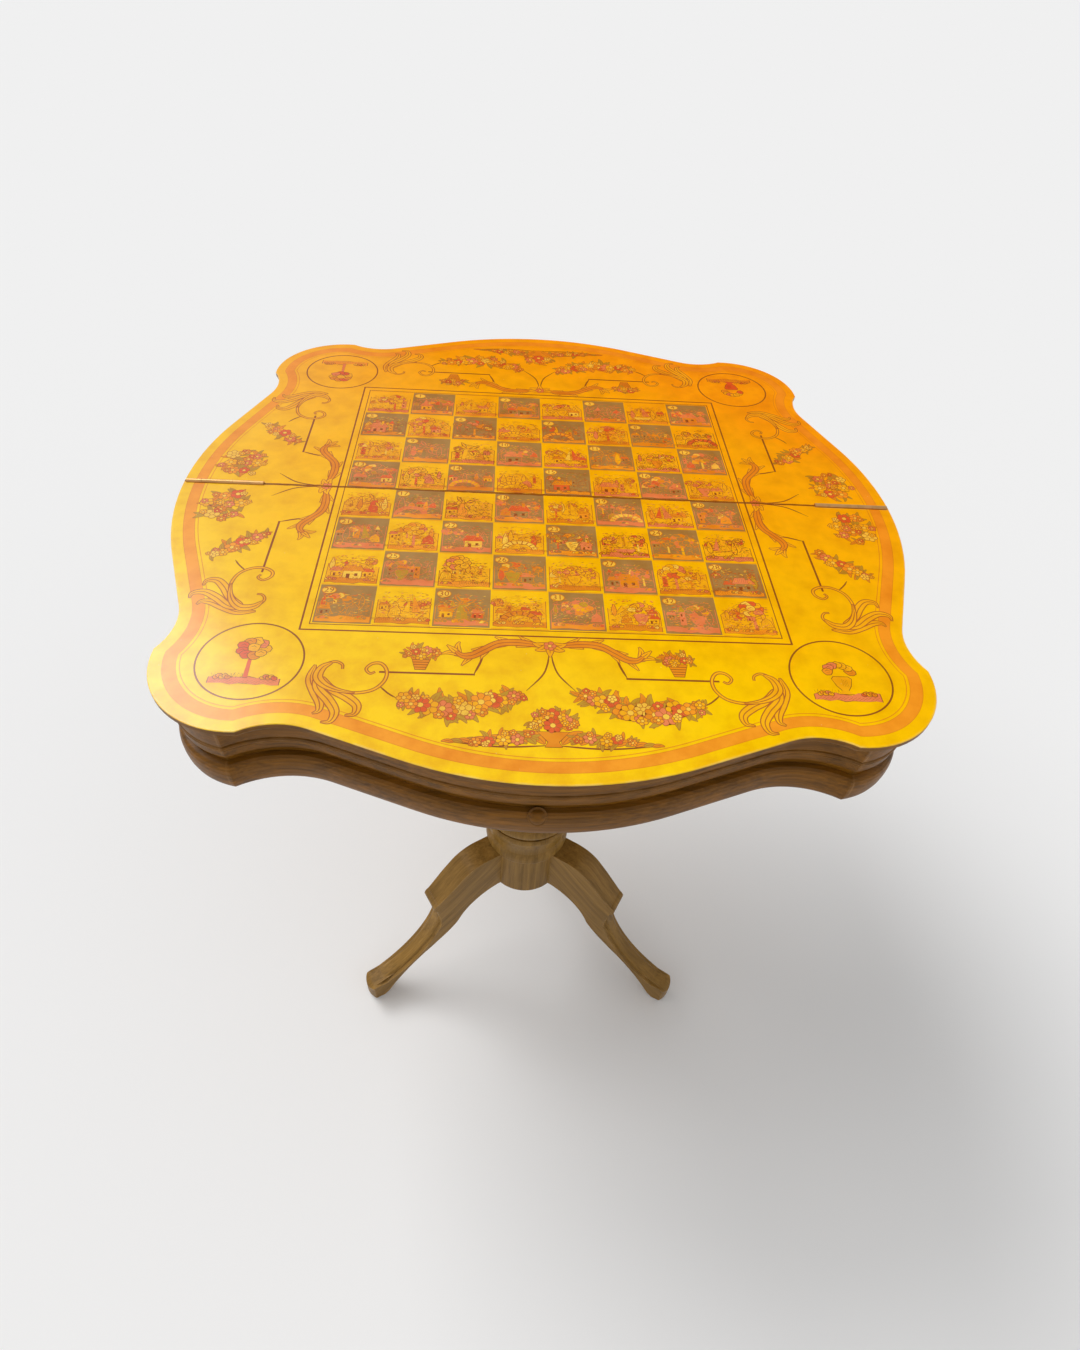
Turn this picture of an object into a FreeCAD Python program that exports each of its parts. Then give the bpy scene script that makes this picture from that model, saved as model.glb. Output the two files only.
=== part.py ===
import FreeCAD, Part
import math
import os
import Sketcher
from FreeCAD import Rotation, Vector

# Folding game table: a serpentine top in two hinged leaves, which swivels on a half-depth
# apron box that stands on a turned column with three curved legs.
# Lengths in millimetres, +Z up. The origin is on the floor under the middle of the open top.
# The front of the table, where the apron shows, faces -Y.

SIZES = {
    # The open top
    "table_height": 760,
    "top_half": 450,
    "leaf_thickness": 18,
    "face_thickness": 0.8,
    "seam_gap": 1,
    "neck_radius": 75,
    "lobe_radius": 98,
    "lip_depth": 6,
    "edge_relief": 11,
    "top_arris": 0.6,
    # The apron box
    "apron_depth": 108,
    "apron_setback": 6,
    "front_overhang": 25,
    "side_overhang": 22,
    "apron_neck_radius": 115,
    "apron_lobe_radius": 87,
    "fascia_setback": 4,
    "fascia_relief": 7,
    "moulding_relief": 11,
    "moulding_height": 39,
    "moulding_foot": 2,
    "rail_depth": 23,
    "back_rail_thickness": 18,
    "floor_thickness": 10,
    "floor_lift": 18,
    "lining_thickness": 1,
    "divider_place": 10,
    "divider_thickness": 10,
    "block_side": 18,
    "block_height": 15,
    "block_length": 44,
    "fit": 0.2,
    # The swivel
    "swivel_offset": 99,
    "board_thickness": 15,
    "felt_thickness": 1.7,
    "felt_width": 10,
    "felt_margin": 4,
    "slide_gap": 0.3,
    "plate_width": 90,
    "plate_thickness": 3,
    "bolt_radius": 6,
    "bolt_head_radius": 11,
    "bolt_head_height": 5,
    "bolt_tail": 4,
    "bush_wall": 3,
    "bush_flange_radius": 15,
    "running_clearance": 0.05,
    "washer_radius": 16,
    "washer_thickness": 2,
    "nut_flats": 19,
    "nut_height": 10,
    "peg_radius": 5,
    "peg_circle": 70,
    "peg_grip": 10,
    "peg_reach": 10,
    "slot_clearance": 0.3,
    # The fold hinges
    "hinge_length": 95,
    "hinge_end": 3,
    "hinge_rise": 0.2,
    "barrel_radius": 3,
    "hinge_pin_radius": 1.25,
    "knuckle_gap": 0.3,
    "barrel_clearance": 0.3,
    "flange_thickness": 1.5,
    "flange_height": 13,
    "flange_play": 0.15,
    # Wood screws
    "screw_radius": 1.75,
    "screw_head_radius": 3.4,
    "screw_head_depth": 1.4,
    "hinge_screw_length": 16,
    "plate_screw_length": 13,
    "cleat_screw_length": 28,
    "screw_fit": 0.02,
    # The pedestal
    "drum_radius": 58,
    "drum_bottom": 195,
    "drum_top": 284,
    "drum_dome": 3,
    "collar_foot_radius": 62.5,
    "collar_foot_edge": 6,
    "collar_waist_radius": 59,
    "collar_lip_radius": 68,
    "collar_height": 72,
    "collar_lip_height": 9,
    "ring_radius": 70,
    "ring_height": 32,
    "ring_shoulder": 8,
    "column_radius": 47,
    "column_spread": 62,
    "cleat_radius": 95,
    "cleat_thickness": 22,
    "cleat_edge": 6,
    "rod_radius": 5,
    "rod_clearance": 0.5,
    "rod_nut_flats": 17,
    "rod_nut_height": 8,
    "rod_washer_radius": 14,
    "rod_washer_thickness": 2,
    # The legs
    "leg_thickness": 39,
    "leg_reach": 296,
    "leg_housing": 10,
    "rib_thickness": 23,
    "rib_round": 5,
    "ledge_drop": 4,
    "toe_lift": 3,
    "glide_radius": 10,
    "dowel_radius": 4,
    "dowel_length": 36,
    "dowel_spacing": 44,
    # The boss on the front moulding
    "boss_drop": 92.5,
    "boss_shift": 10,
    "boss_sink": 2.5,
    "boss_radius": 10,
    "boss_height": 6,
    "boss_stem_radius": 3,
    "boss_stem_length": 9,
    # How far a cutting tool runs past what it cuts
    "overrun": 5,
}

# Quarter of a serpentine outline, in shares of its reaches: radius of the bulge, depth of the
# neck, and the sharp corner between neck and lobe, on the front and on the side
TOP_OUTLINE_SHARES = {
    "bulge": (0.9, 0.9), "neck": (0.86, 0.86),
    "front_cusp": (0.653, 0.884), "side_cusp": (0.884, 0.653),
}
APRON_OUTLINE_SHARES = {
    "bulge": (0.929, 0.923), "neck": (0.847, 0.881),
    "front_cusp": (0.759, 0.884), "side_cusp": (0.925, 0.718),
}
# Edge of a leaf: share of the edge relief drawn in, share of the depth below the lip
LEAF_EDGE_SHARES = [
    (0.10, 0.04), (0.16, 0.09), (0.32, 0.13), (0.36, 0.25), (0.44, 0.45),
    (0.58, 0.65), (0.78, 0.84), (1.00, 1.00),
]
# Fascia: share of the relief drawn in, share of the height from the top of the rail
FASCIA_SHARES = [
    (0.30, 0.00), (0.08, 0.07), (0.00, 0.25), (0.06, 0.50), (0.14, 0.575), (0.30, 0.59),
    (0.04, 0.605), (-0.06, 0.635), (0.04, 0.665), (0.30, 0.68), (0.16, 0.695), (0.20, 0.80),
    (0.30, 0.84), (0.62, 0.875), (0.88, 0.92), (1.00, 0.97), (1.00, 1.00),
]
# Lower moulding: share of the relief drawn in, share of the height from its top edge
MOULDING_SHARES = [
    (0.86, 0.00), (0.48, 0.03), (0.22, 0.09), (0.07, 0.19), (0.00, 0.33), (0.00, 0.52),
    (0.06, 0.70), (0.18, 0.84), (0.34, 0.93), (0.56, 1.00),
]
# Side view of a leg, in shares of its reach and of the drum's top height:
# along, up, and for an arc its radius in shares of its chord and its turn, 1 left, -1 right
LEG_SHARES = [
    (0.205, 0.696, 0, 0), (0.439, 0.500, 1.066, -1), (0.642, 0.295, 2.618, 1),
    (0.878, 0.036, 3.064, -1),
]
TOE_SHARES = [
    (0.945, 0.000, 0, 0), (0.985, 0.050, 0.944, 1), (0.980, 0.105, 0, 0),
    (0.940, 0.148, 0.905, 1), (0.885, 0.164, 0, 0),
]
# Half of a leg seen from above: along, and half width as a share of half its thickness
LEG_PLAN_SHARES = [(0.455, 1.00), (0.565, 0.89), (0.870, 0.87), (0.955, 0.82)]
TOE_ROUND_SHARE = 0.70
KNEE_SHARES = [
    (0.536, 0.575, 0, 0), (0.552, 0.700, 0, 0), (0.548, 0.766, 0.536, 1),
    (0.408, 0.926, 0, 0), (0.243, 0.996, 1.151, 1),
]
OUTER_EDGE_SHARES = (0.551, 0.530, 1.259)
OUTER_CORNER = len(LEG_SHARES) + len(TOE_SHARES) + 2
# Turned column: radius in shares of its greatest radius, height in shares of its own,
# arc radius in shares of its chord and its turn
COLUMN_SHARES = [
    (1.06, 0.000, 0, 0), (1.06, 0.035, 0, 0), (0.80, 0.095, 1.045, -1), (0.80, 0.115, 0, 0),
    (0.88, 0.125, 0, 0), (0.88, 0.150, 0.862, 1), (0.80, 0.160, 0, 0), (1.00, 0.330, 1.459, 1),
    (0.62, 0.600, 1.468, 1), (0.56, 0.690, 2.589, -1), (0.72, 0.700, 0, 0),
    (0.72, 0.735, 0.895, 1), (0.56, 0.745, 0, 0), (0.60, 0.800, 3.173, -1),
    (1.20, 0.930, 1.173, -1), (1.32, 0.945, 0, 0),
    (1.32, 1.000, 0, 0),
]
KNUCKLE_COUNT = 5
SCREWS_PER_FLANGE = 3
LEG_ANGLES = {"leg_front_left": 210, "leg_front_right": 330, "leg_rear": 90}
QUARTER_TURN = 90
SLOT_START_ANGLE = 225
TURN_UP = ((1, 0, 0), 90)
TURN_DOWN = ((1, 0, 0), -90)
TURN_OVER = ((1, 0, 0), 180)
TURN_ALONG = ((0, 1, 0), 90)
TURN_OUT_OF_EDGE = ((1, 0, 0), 50)
TURN_INTO_EDGE = ((1, 0, 0), 230)


class Size:
    """A length worked out from the sheet: its value, and the expression that gives it."""

    def __init__(self, value, text):
        self.value = value
        self.text = text

    def __add__(self, other):
        other = as_size(other)
        return Size(self.value + other.value, "(%s + %s)" % (self.text, other.text))

    def __sub__(self, other):
        other = as_size(other)
        return Size(self.value - other.value, "(%s - %s)" % (self.text, other.text))

    def __mul__(self, other):
        other = as_size(other)
        return Size(self.value * other.value, "%s * %s" % (self.text, other.text))

    def __truediv__(self, other):
        other = as_size(other)
        return Size(self.value / other.value, "(%s / (%s))" % (self.text, other.text))

    def __neg__(self):
        return Size(-self.value, "(-1 * %s)" % self.text)


def as_size(number):
    return number if isinstance(number, Size) else Size(number, "(%r)" % number)


doc = FreeCAD.newDocument("game_table")
sheet = doc.addObject("Spreadsheet::Sheet", "Sizes")
for row, (alias, number) in enumerate(SIZES.items(), 1):
    sheet.set("A%d" % row, alias)
    sheet.set("B%d" % row, str(number))
    sheet.setAlias("B%d" % row, alias)
doc.recompute()


def cell(alias):
    """The sheet's value of one named size."""
    return Size(float(sheet.get(alias)), "Sizes." + alias)


nodes = []


def keep(thing, label):
    """Makes a finished object one of the table's sub-parts."""
    thing.Label = label
    nodes.append(thing)
    return thing


def bind(thing, path, size):
    thing.setExpression(path, as_size(size).text)


def put(thing, place, turn=None):
    """Places an object, turned about an axis by an angle if turn is given."""
    if turn:
        thing.Placement = FreeCAD.Placement(Vector(), Rotation(Vector(*turn[0]), turn[1]))
    for axis, size in zip("xyz", place):
        bind(thing, "Placement.Base." + axis, size)
    return thing


def block(name, across, deep, high):
    """A box between low and high sizes along X, Y and Z."""
    box = doc.addObject("Part::Box", name)
    bind(box, "Length", across[1] - across[0])
    bind(box, "Width", deep[1] - deep[0])
    bind(box, "Height", high[1] - high[0])
    return put(box, (across[0], deep[0], high[0]))


def rod(name, radius, length, place, turn=None):
    """A cylinder that starts at a place and runs along +Z, or as turned."""
    cylinder = doc.addObject("Part::Cylinder", name)
    bind(cylinder, "Radius", radius)
    bind(cylinder, "Height", length)
    return put(cylinder, place, turn)


def taper(name, first_radius, last_radius, length, place, turn=None):
    cone = doc.addObject("Part::Cone", name)
    bind(cone, "Radius1", first_radius)
    bind(cone, "Radius2", last_radius)
    bind(cone, "Height", length)
    return put(cone, place, turn)


def fuse(name, shapes):
    joined = doc.addObject("Part::MultiFuse", name)
    joined.Shapes = shapes
    return joined


def group(name, members):
    """Identical pieces that share one node, each still a solid of its own."""
    compound = doc.addObject("Part::Compound", name)
    compound.Links = members
    return compound


def cut(name, base, tools):
    difference = doc.addObject("Part::Cut", name)
    difference.Base = base
    difference.Tool = tools[0] if len(tools) == 1 else fuse(name + "_tools", tools)
    return difference


def common(name, base, tool):
    overlap = doc.addObject("Part::Common", name)
    overlap.Base = base
    overlap.Tool = tool
    return overlap


def code_shape(name, shape):
    """An object whose serpentine shape is made by this source from the sheet's values."""
    feature = doc.addObject("Part::Feature", name)
    feature.Shape = shape
    return feature


def sketch_on(body, name, role):
    sketch = body.newObject("Sketcher::SketchObject", name)
    plane = [item for item in body.Origin.OriginFeatures if item.Role == role][0]
    sketch.AttachmentSupport = [(plane, "")]
    sketch.MapMode = "FlatFace"
    return sketch


def arc_centre(first, last, radius, turn):
    """Centre of the short arc from first to last that turns left (1) or right (-1)."""
    chord = last - first
    rise = math.sqrt(max(radius ** 2 - (chord.Length / 2) ** 2, 0))
    left = Vector(-chord.y, chord.x, 0).normalize()
    return (first + last) / 2 + left * rise * turn


def chord(first, last):
    """Distance between two corners."""
    across = last[0] - first[0]
    along = last[1] - first[1]
    squares = across * across + along * along
    return Size(math.sqrt(squares.value), "sqrt(%s)" % squares.text)


def arc_radius(first, last):
    """Radius of the arc that leads to a corner, given as a size or in shares of its chord."""
    radius = last[2]
    return radius if isinstance(radius, Size) else chord(first, last) * radius


def draw(sketch, corners):
    """Closed outline of lines and arcs. A corner is (x, y), or (x, y, radius, turn) where
    an arc leads to it. Every corner and radius is bound to the sheet."""
    count = len(corners)
    points = [Vector(corner[0].value, corner[1].value, 0) for corner in corners]
    ends = []
    for index in range(count):
        target = (index + 1) % count
        first, last, step = points[index], points[target], corners[target]
        if len(step) == 2 or not step[3]:
            sketch.addGeometry(Part.LineSegment(first, last), False)
            ends.append((1, 2))
            continue
        radius = arc_radius(corners[index], step).value
        centre = arc_centre(first, last, radius, step[3])
        start, stop = (first, last) if step[3] > 0 else (last, first)
        circle = Part.Circle(centre, Vector(0, 0, 1), radius)
        angles = [math.atan2(end.y - centre.y, end.x - centre.x) for end in (start, stop)]
        sketch.addGeometry(Part.ArcOfCircle(circle, angles[0], angles[1]), False)
        ends.append((1, 2) if step[3] > 0 else (2, 1))
    for index in range(count):
        target = (index + 1) % count
        corner, step = corners[index], corners[target]
        link = Sketcher.Constraint("Coincident", index, ends[index][1], target, ends[target][0])
        sketch.addConstraint(link)
        for kind, size in (("DistanceX", corner[0]), ("DistanceY", corner[1])):
            limit = Sketcher.Constraint(kind, -1, 1, index, ends[index][0], size.value)
            sketch.setExpression("Constraints[%d]" % sketch.addConstraint(limit), size.text)
        if len(step) > 2 and step[3]:
            radius = arc_radius(corner, step)
            limit = Sketcher.Constraint("Radius", index, radius.value)
            sketch.setExpression("Constraints[%d]" % sketch.addConstraint(limit), radius.text)


def turned(name, corners):
    """A body turned about its own Z axis from (radius, height) corners."""
    body = doc.addObject("PartDesign::Body", name)
    profile = sketch_on(body, name + "_profile", "XZ_Plane")
    draw(profile, corners)
    turning = body.newObject("PartDesign::Revolution", name + "_turning")
    turning.Profile = profile
    turning.ReferenceAxis = (profile, ["V_Axis"])
    turning.Angle = 360
    return body


def sawn(name, corners, thickness, role="XZ_Plane"):
    """A board sawn to an outline in one of its body's planes and centred on that plane."""
    body = doc.addObject("PartDesign::Body", name)
    profile = sketch_on(body, name + "_profile", role)
    draw(profile, corners)
    board = body.newObject("PartDesign::Pad", name + "_board")
    board.Profile = profile
    board.SideType = "Symmetric"
    bind(board, "Length", thickness)
    return body


def screw(name, length, place, turn):
    """A countersunk screw: its head's flat face is at the place, its point along +Z turned."""
    head = taper(name + "_head", cell("screw_head_radius"), cell("screw_radius"),
                 cell("screw_head_depth"), place, turn)
    shank = rod(name + "_shank", cell("screw_radius"), length, place, turn)
    return fuse(name, [head, shank])


def screw_hole(name, length, place, turn):
    """The hole that a screw fills, with its countersink."""
    fit = cell("screw_fit")
    sink = taper(name + "_sink", cell("screw_head_radius") + fit, cell("screw_radius") + fit,
                 cell("screw_head_depth"), place, turn)
    bore = rod(name + "_bore", cell("screw_radius") + fit, length + fit, place, turn)
    return fuse(name, [sink, bore])


# Levels and places that several pieces share
zero = Size(0, "0")
top_level = cell("table_height")
leaf_underside = top_level - cell("leaf_thickness")
rail_top = leaf_underside - cell("slide_gap") - cell("felt_thickness")
apron_bottom = rail_top - cell("apron_depth")
moulding_top = apron_bottom + cell("moulding_height")
floor_bottom = apron_bottom + cell("floor_lift")
floor_top = floor_bottom + cell("floor_thickness")
board_bottom = rail_top - cell("board_thickness")
half_gap = cell("seam_gap") / 2
pivot_x = cell("swivel_offset")
pivot_y = -cell("swivel_offset")
pedestal_y = -cell("swivel_offset") * 2
rail_back = cell("apron_setback") + cell("back_rail_thickness")


class Outline:
    """A serpentine outline: on each side a bulge, two necks and a lobe at each corner. All
    its curves keep their centres when the outline is drawn in by an inset."""

    def __init__(self, reach_x, reach_y, neck_radius, lobe_radius, shares):
        self.reach = Vector(reach_x.value, reach_y.value, 0)
        self.neck_radius = neck_radius.value
        self.lobe_radius = lobe_radius.value
        self.bulge_radii = [self.reach[i] * shares["bulge"][1 - i] for i in (0, 1)]
        front = self.scaled(shares["front_cusp"])
        side = self.scaled(shares["side_cusp"])
        half = (front - side) / 2
        inward = Vector(half.y, -half.x, 0).normalize()
        if inward.x > 0:
            inward = -inward
        rise = math.sqrt(self.lobe_radius ** 2 - half.Length ** 2)
        self.lobe = (front + side) / 2 + inward * rise
        depth_y = self.reach.y * shares["neck"][0] + self.neck_radius
        depth_x = self.reach.x * shares["neck"][1] + self.neck_radius
        off_x = math.sqrt(self.neck_radius ** 2 - (depth_y - front.y) ** 2)
        off_y = math.sqrt(self.neck_radius ** 2 - (depth_x - side.x) ** 2)
        self.front_neck = Vector(front.x - off_x, depth_y, 0)
        self.side_neck = Vector(depth_x, side.y - off_y, 0)

    def scaled(self, shares):
        return Vector(self.reach.x * shares[0], self.reach.y * shares[1], 0)

    def swing(self, bulge_centre, bulge, neck_centre, neck):
        """Where the straight run between a bulge and a neck touches each of them."""
        run = neck_centre - bulge_centre
        lean = math.acos((bulge + neck) / run.Length)
        middle = math.atan2(run.y, run.x)
        angle = min((middle - lean, middle + lean), key=lambda a: abs(math.sin(2 * a)))
        way = Vector(math.cos(angle), math.sin(angle), 0)
        return bulge_centre + way * bulge, neck_centre - way * neck

    def cusp(self, neck_centre, neck, lobe):
        """Where a neck's circle meets the lobe's, on the outer side."""
        run = self.lobe - neck_centre
        along = (neck ** 2 - lobe ** 2 + run.Length ** 2) / (2 * run.Length)
        off = math.sqrt(neck ** 2 - along ** 2)
        unit = Vector(run).normalize()
        across = Vector(-unit.y, unit.x, 0) * off
        middle = neck_centre + unit * along
        return max((middle + across, middle - across), key=lambda point: point.Length)

    def quarter(self, inset, back):
        """Corners and arc middles from the side's middle line round to the front's."""
        side_bulge, front_bulge = [radius - inset for radius in self.bulge_radii]
        neck = self.neck_radius + inset
        lobe = self.lobe_radius - inset
        side_centre = Vector(self.reach.x - self.bulge_radii[0], 0, 0)
        front_centre = Vector(0, self.reach.y - self.bulge_radii[1], 0)
        start = side_centre + Vector(math.sqrt(side_bulge ** 2 - back ** 2), back, 0)
        side_end, side_start = self.swing(side_centre, side_bulge, self.side_neck, neck)
        front_end, front_start = self.swing(front_centre, front_bulge, self.front_neck, neck)
        side_cusp = self.cusp(self.side_neck, neck, lobe)
        front_cusp = self.cusp(self.front_neck, neck, lobe)
        crown = front_centre + Vector(0, front_bulge, 0)
        return [
            (start, None),
            (side_end, arc_middle(side_centre, start, side_end)),
            (side_start, None),
            (side_cusp, arc_middle(self.side_neck, side_start, side_cusp)),
            (front_cusp, arc_middle(self.lobe, side_cusp, front_cusp)),
            (front_start, arc_middle(self.front_neck, front_cusp, front_start)),
            (front_end, None),
            (crown, arc_middle(front_centre, front_end, crown)),
        ]

    def wire(self, inset, level, back, side):
        """Closed wire of one leaf's half, from the line that lies back from the seam. Side
        is -1 for the front half and 1 for the rear."""
        quarter = self.quarter(inset, back)
        path = [step[0] for step in quarter]
        mids = [step[1] for step in quarter[1:]]
        path += [Vector(-point.x, point.y, 0) for point in reversed(path[:-1])]
        mids += [Vector(-mid.x, mid.y, 0) if mid else None for mid in reversed(mids)]
        path = [Vector(point.x, point.y * side, level) for point in path]
        edges = []
        for index, mid in enumerate(mids):
            first, last = path[index], path[index + 1]
            if mid:
                mid = Vector(mid.x, mid.y * side, level)
                edges.append(Part.Arc(first, mid, last).toShape())
            else:
                edges.append(Part.LineSegment(first, last).toShape())
        edges.append(Part.LineSegment(path[-1], path[0]).toShape())
        return Part.Wire(edges)


def arc_middle(centre, first, last):
    """Middle of the short arc round a centre."""
    way = (first - centre) + (last - centre)
    return centre + way.normalize() * (first - centre).Length


top_outline = Outline(cell("top_half"), cell("top_half"), cell("neck_radius"),
                      cell("lobe_radius"), TOP_OUTLINE_SHARES)
apron_reach_x = cell("top_half") - cell("side_overhang")
apron_reach_y = cell("top_half") - cell("front_overhang")
apron_outline = Outline(apron_reach_x, apron_reach_y, cell("apron_neck_radius"),
                        cell("apron_lobe_radius"), APRON_OUTLINE_SHARES)


def prism(inset, low, high, back, outline=apron_outline, side=-1):
    """The half outline drawn in by an inset, as a solid between two levels."""
    face = Part.Face(outline.wire(inset.value, low.value, back.value, side))
    return face.extrude(Vector(0, 0, high.value - low.value))


def moulded(sections, back, outline=apron_outline, side=-1):
    """A solid whose edge follows (inset, level) sections all round the half outline."""
    wires = [outline.wire(inset.value, level.value, back.value, side)
             for inset, level in sections]
    return Part.makeLoft(wires, True, True)


def shared(inset, relief, top, height, shares):
    """Sections of a moulding from its table of shares."""
    return [(inset + relief * across, top - height * down) for across, down in shares]


# The two leaves

def leaf_sections():
    lip_top = top_level - cell("face_thickness")
    lip_bottom = top_level - cell("lip_depth")
    edge = shared(zero, cell("edge_relief"), lip_bottom, lip_bottom - leaf_underside,
                  LEAF_EDGE_SHARES)
    return [(zero, lip_top), (zero, lip_bottom)] + edge


hinge_axis_level = top_level + cell("hinge_rise")
hinge_outer = cell("top_half") - cell("hinge_end")
hinge_inner = hinge_outer - cell("hinge_length")
knuckle_pitch = (cell("hinge_length") + cell("knuckle_gap")) / KNUCKLE_COUNT
flange_top = hinge_axis_level - cell("barrel_radius") - cell("barrel_clearance")
flange_bottom = hinge_axis_level - cell("flange_height")
flange_face = cell("flange_play")
flange_back = flange_face + cell("flange_thickness")
HINGE_ENDS = {"left": -1, "right": 1}
LEAF_SIDES = {"front": -1, "rear": 1}


def hinge_start(end):
    """Where a hinge begins along X: its low end."""
    return hinge_inner if HINGE_ENDS[end] > 0 else -hinge_outer


def span(first, last):
    """Two sizes in rising order."""
    return (first, last) if first.value < last.value else (last, first)


def hinge_screw_places(end, leaf):
    """Heads' places of the screws that hold one hinge leaf to its leaf's edge."""
    pitch = cell("hinge_length") / SCREWS_PER_FLANGE
    level = (flange_top + flange_bottom) / 2
    side = LEAF_SIDES[leaf]
    return [(hinge_start(end) + pitch * (number + 0.5), flange_face * side, level)
            for number in range(SCREWS_PER_FLANGE)]


def side_turn(leaf):
    """Points a tool from the seam into the leaf."""
    return TURN_UP if leaf == "front" else TURN_DOWN


def leaf_mortises(leaf):
    """Recesses in a leaf's seam edge for its hinge leaves, barrels and screws."""
    side = LEAF_SIDES[leaf]
    fit = cell("fit")
    tools = []
    for end in HINGE_ENDS:
        name = "%s_%s_mortise" % (leaf, end)
        start = hinge_start(end)
        along = (start - fit, start + cell("hinge_length") + fit)
        across = span(zero, (flange_back + fit) * side)
        bed = block(name + "_bed", along, across, (flange_bottom - fit, top_level))
        groove = rod(name + "_groove", cell("barrel_radius") + cell("barrel_clearance"),
                     cell("hinge_length") + fit * 2, (along[0], zero, hinge_axis_level),
                     TURN_ALONG)
        tools += [bed, groove]
        for number, place in enumerate(hinge_screw_places(end, leaf)):
            tools.append(screw_hole("%s_hole_%d" % (name, number),
                                    cell("hinge_screw_length"), place, side_turn(leaf)))
    return tools


leaf_blanks = {}
for leaf, side in LEAF_SIDES.items():
    leaf_blanks[leaf] = code_shape(leaf + "_leaf_blank", moulded(leaf_sections(), half_gap, top_outline,
                                                          side))


# The pivot plate is let into the front leaf's underside, over the bolt's head

plate_half = cell("plate_width") / 2
plate_top = leaf_underside + cell("plate_thickness")
plate_screw_inset = cell("screw_head_radius") * 3


def plate_screw_places():
    reach = plate_half - plate_screw_inset
    return [(pivot_x + reach * i, pivot_y + reach * j, leaf_underside)
            for i in (-1, 1) for j in (-1, 1)]


def peg_place():
    """Where the stop peg stands at rest: on the diagonal to the front left of the pivot."""
    reach = cell("peg_circle") * math.sqrt(0.5)
    return (pivot_x - reach, pivot_y - reach)


def pivot_pockets():
    fit = cell("fit")
    recess = block("pivot_plate_recess",
                   (pivot_x - plate_half - fit, pivot_x + plate_half + fit),
                   (pivot_y - plate_half - fit, pivot_y + plate_half + fit),
                   (leaf_underside - cell("overrun"), plate_top))
    head = rod("pivot_head_pocket", cell("bolt_head_radius") + fit,
               cell("bolt_head_height") + fit, (pivot_x, pivot_y, plate_top))
    tools = [recess, head]
    for number, place in enumerate(plate_screw_places()):
        tools.append(screw_hole("plate_screw_hole_%d" % number, cell("plate_screw_length"),
                                place, None))
    peg_x, peg_y = peg_place()
    tools.append(rod("peg_hole", cell("peg_radius") + cell("screw_fit"), cell("peg_grip"),
                     (peg_x, peg_y, leaf_underside)))
    return tools


keep(cut("front_leaf_core", leaf_blanks["front"], leaf_mortises("front") + pivot_pockets()),
     "front_leaf_core")
keep(cut("rear_leaf_core", leaf_blanks["rear"], leaf_mortises("rear")), "rear_leaf_core")

# The printed playing faces, with the grooves for the hinge barrels
for leaf, side in LEAF_SIDES.items():
    under = top_level - cell("face_thickness")
    shoulder = top_level - cell("top_arris")
    sheet_blank = code_shape(leaf + "_face_blank", moulded(
        [(zero, under), (zero, shoulder), (cell("top_arris"), top_level)], half_gap,
        top_outline, side))
    grooves = []
    for end in HINGE_ENDS:
        name = "%s_%s_face_groove" % (leaf, end)
        start = hinge_start(end) - cell("fit")
        grooves.append(block(name, (start, start + cell("hinge_length") + cell("fit") * 2),
                             span(zero, (cell("barrel_radius") + cell("fit") * 2) * side),
                             (under - cell("overrun"), top_level + cell("overrun"))))
    keep(cut(leaf + "_leaf_face", sheet_blank, grooves), leaf + "_leaf_face")


# The butt hinges: their barrels lie along the seam, just above the playing face

def hinge_leaf(end, leaf):
    """One hinge leaf. The front one has the odd knuckles, the rear one the even ones."""
    name = "hinge_%s_%s" % (leaf, end)
    side = LEAF_SIDES[leaf]
    start = hinge_start(end)
    across = span(flange_face * side, flange_back * side)
    parts = [block(name + "_flange", (start, start + cell("hinge_length")), across,
                   (flange_bottom, flange_top))]
    for number in range(0 if leaf == "front" else 1, KNUCKLE_COUNT, 2):
        low = start + knuckle_pitch * number
        length = knuckle_pitch - cell("knuckle_gap")
        parts.append(block("%s_web_%d" % (name, number), (low, low + length), across,
                           (flange_bottom, hinge_axis_level)))
        parts.append(rod("%s_knuckle_%d" % (name, number), cell("barrel_radius"), length,
                         (low, zero, hinge_axis_level), TURN_ALONG))
    bore = rod(name + "_bore", cell("hinge_pin_radius") + cell("running_clearance"),
               cell("hinge_length") + cell("overrun") * 2,
               (start - cell("overrun"), zero, hinge_axis_level), TURN_ALONG)
    holes = [screw_hole("%s_hole_%d" % (name, number), cell("hinge_screw_length"), place,
                        side_turn(leaf))
             for number, place in enumerate(hinge_screw_places(end, leaf))]
    return cut(name, fuse(name + "_blank", parts), [bore] + holes)


for end in HINGE_ENDS:
    for leaf in LEAF_SIDES:
        keep(hinge_leaf(end, leaf), "hinge_%s_%s" % (leaf, end))
    keep(rod("hinge_pin_" + end, cell("hinge_pin_radius"), cell("hinge_length"),
             (hinge_start(end), zero, hinge_axis_level), TURN_ALONG), "hinge_pin_" + end)
for leaf in LEAF_SIDES:
    screws = [screw("%s_%s_screw_%d" % (leaf, end, number), cell("hinge_screw_length"), place,
                    side_turn(leaf))
              for end in HINGE_ENDS
              for number, place in enumerate(hinge_screw_places(end, leaf))]
    keep(group("hinge_screws_" + leaf, screws), "hinge_screws_" + leaf)

# The swivel: plate, bolt, washer and nut turn with the front leaf

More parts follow.
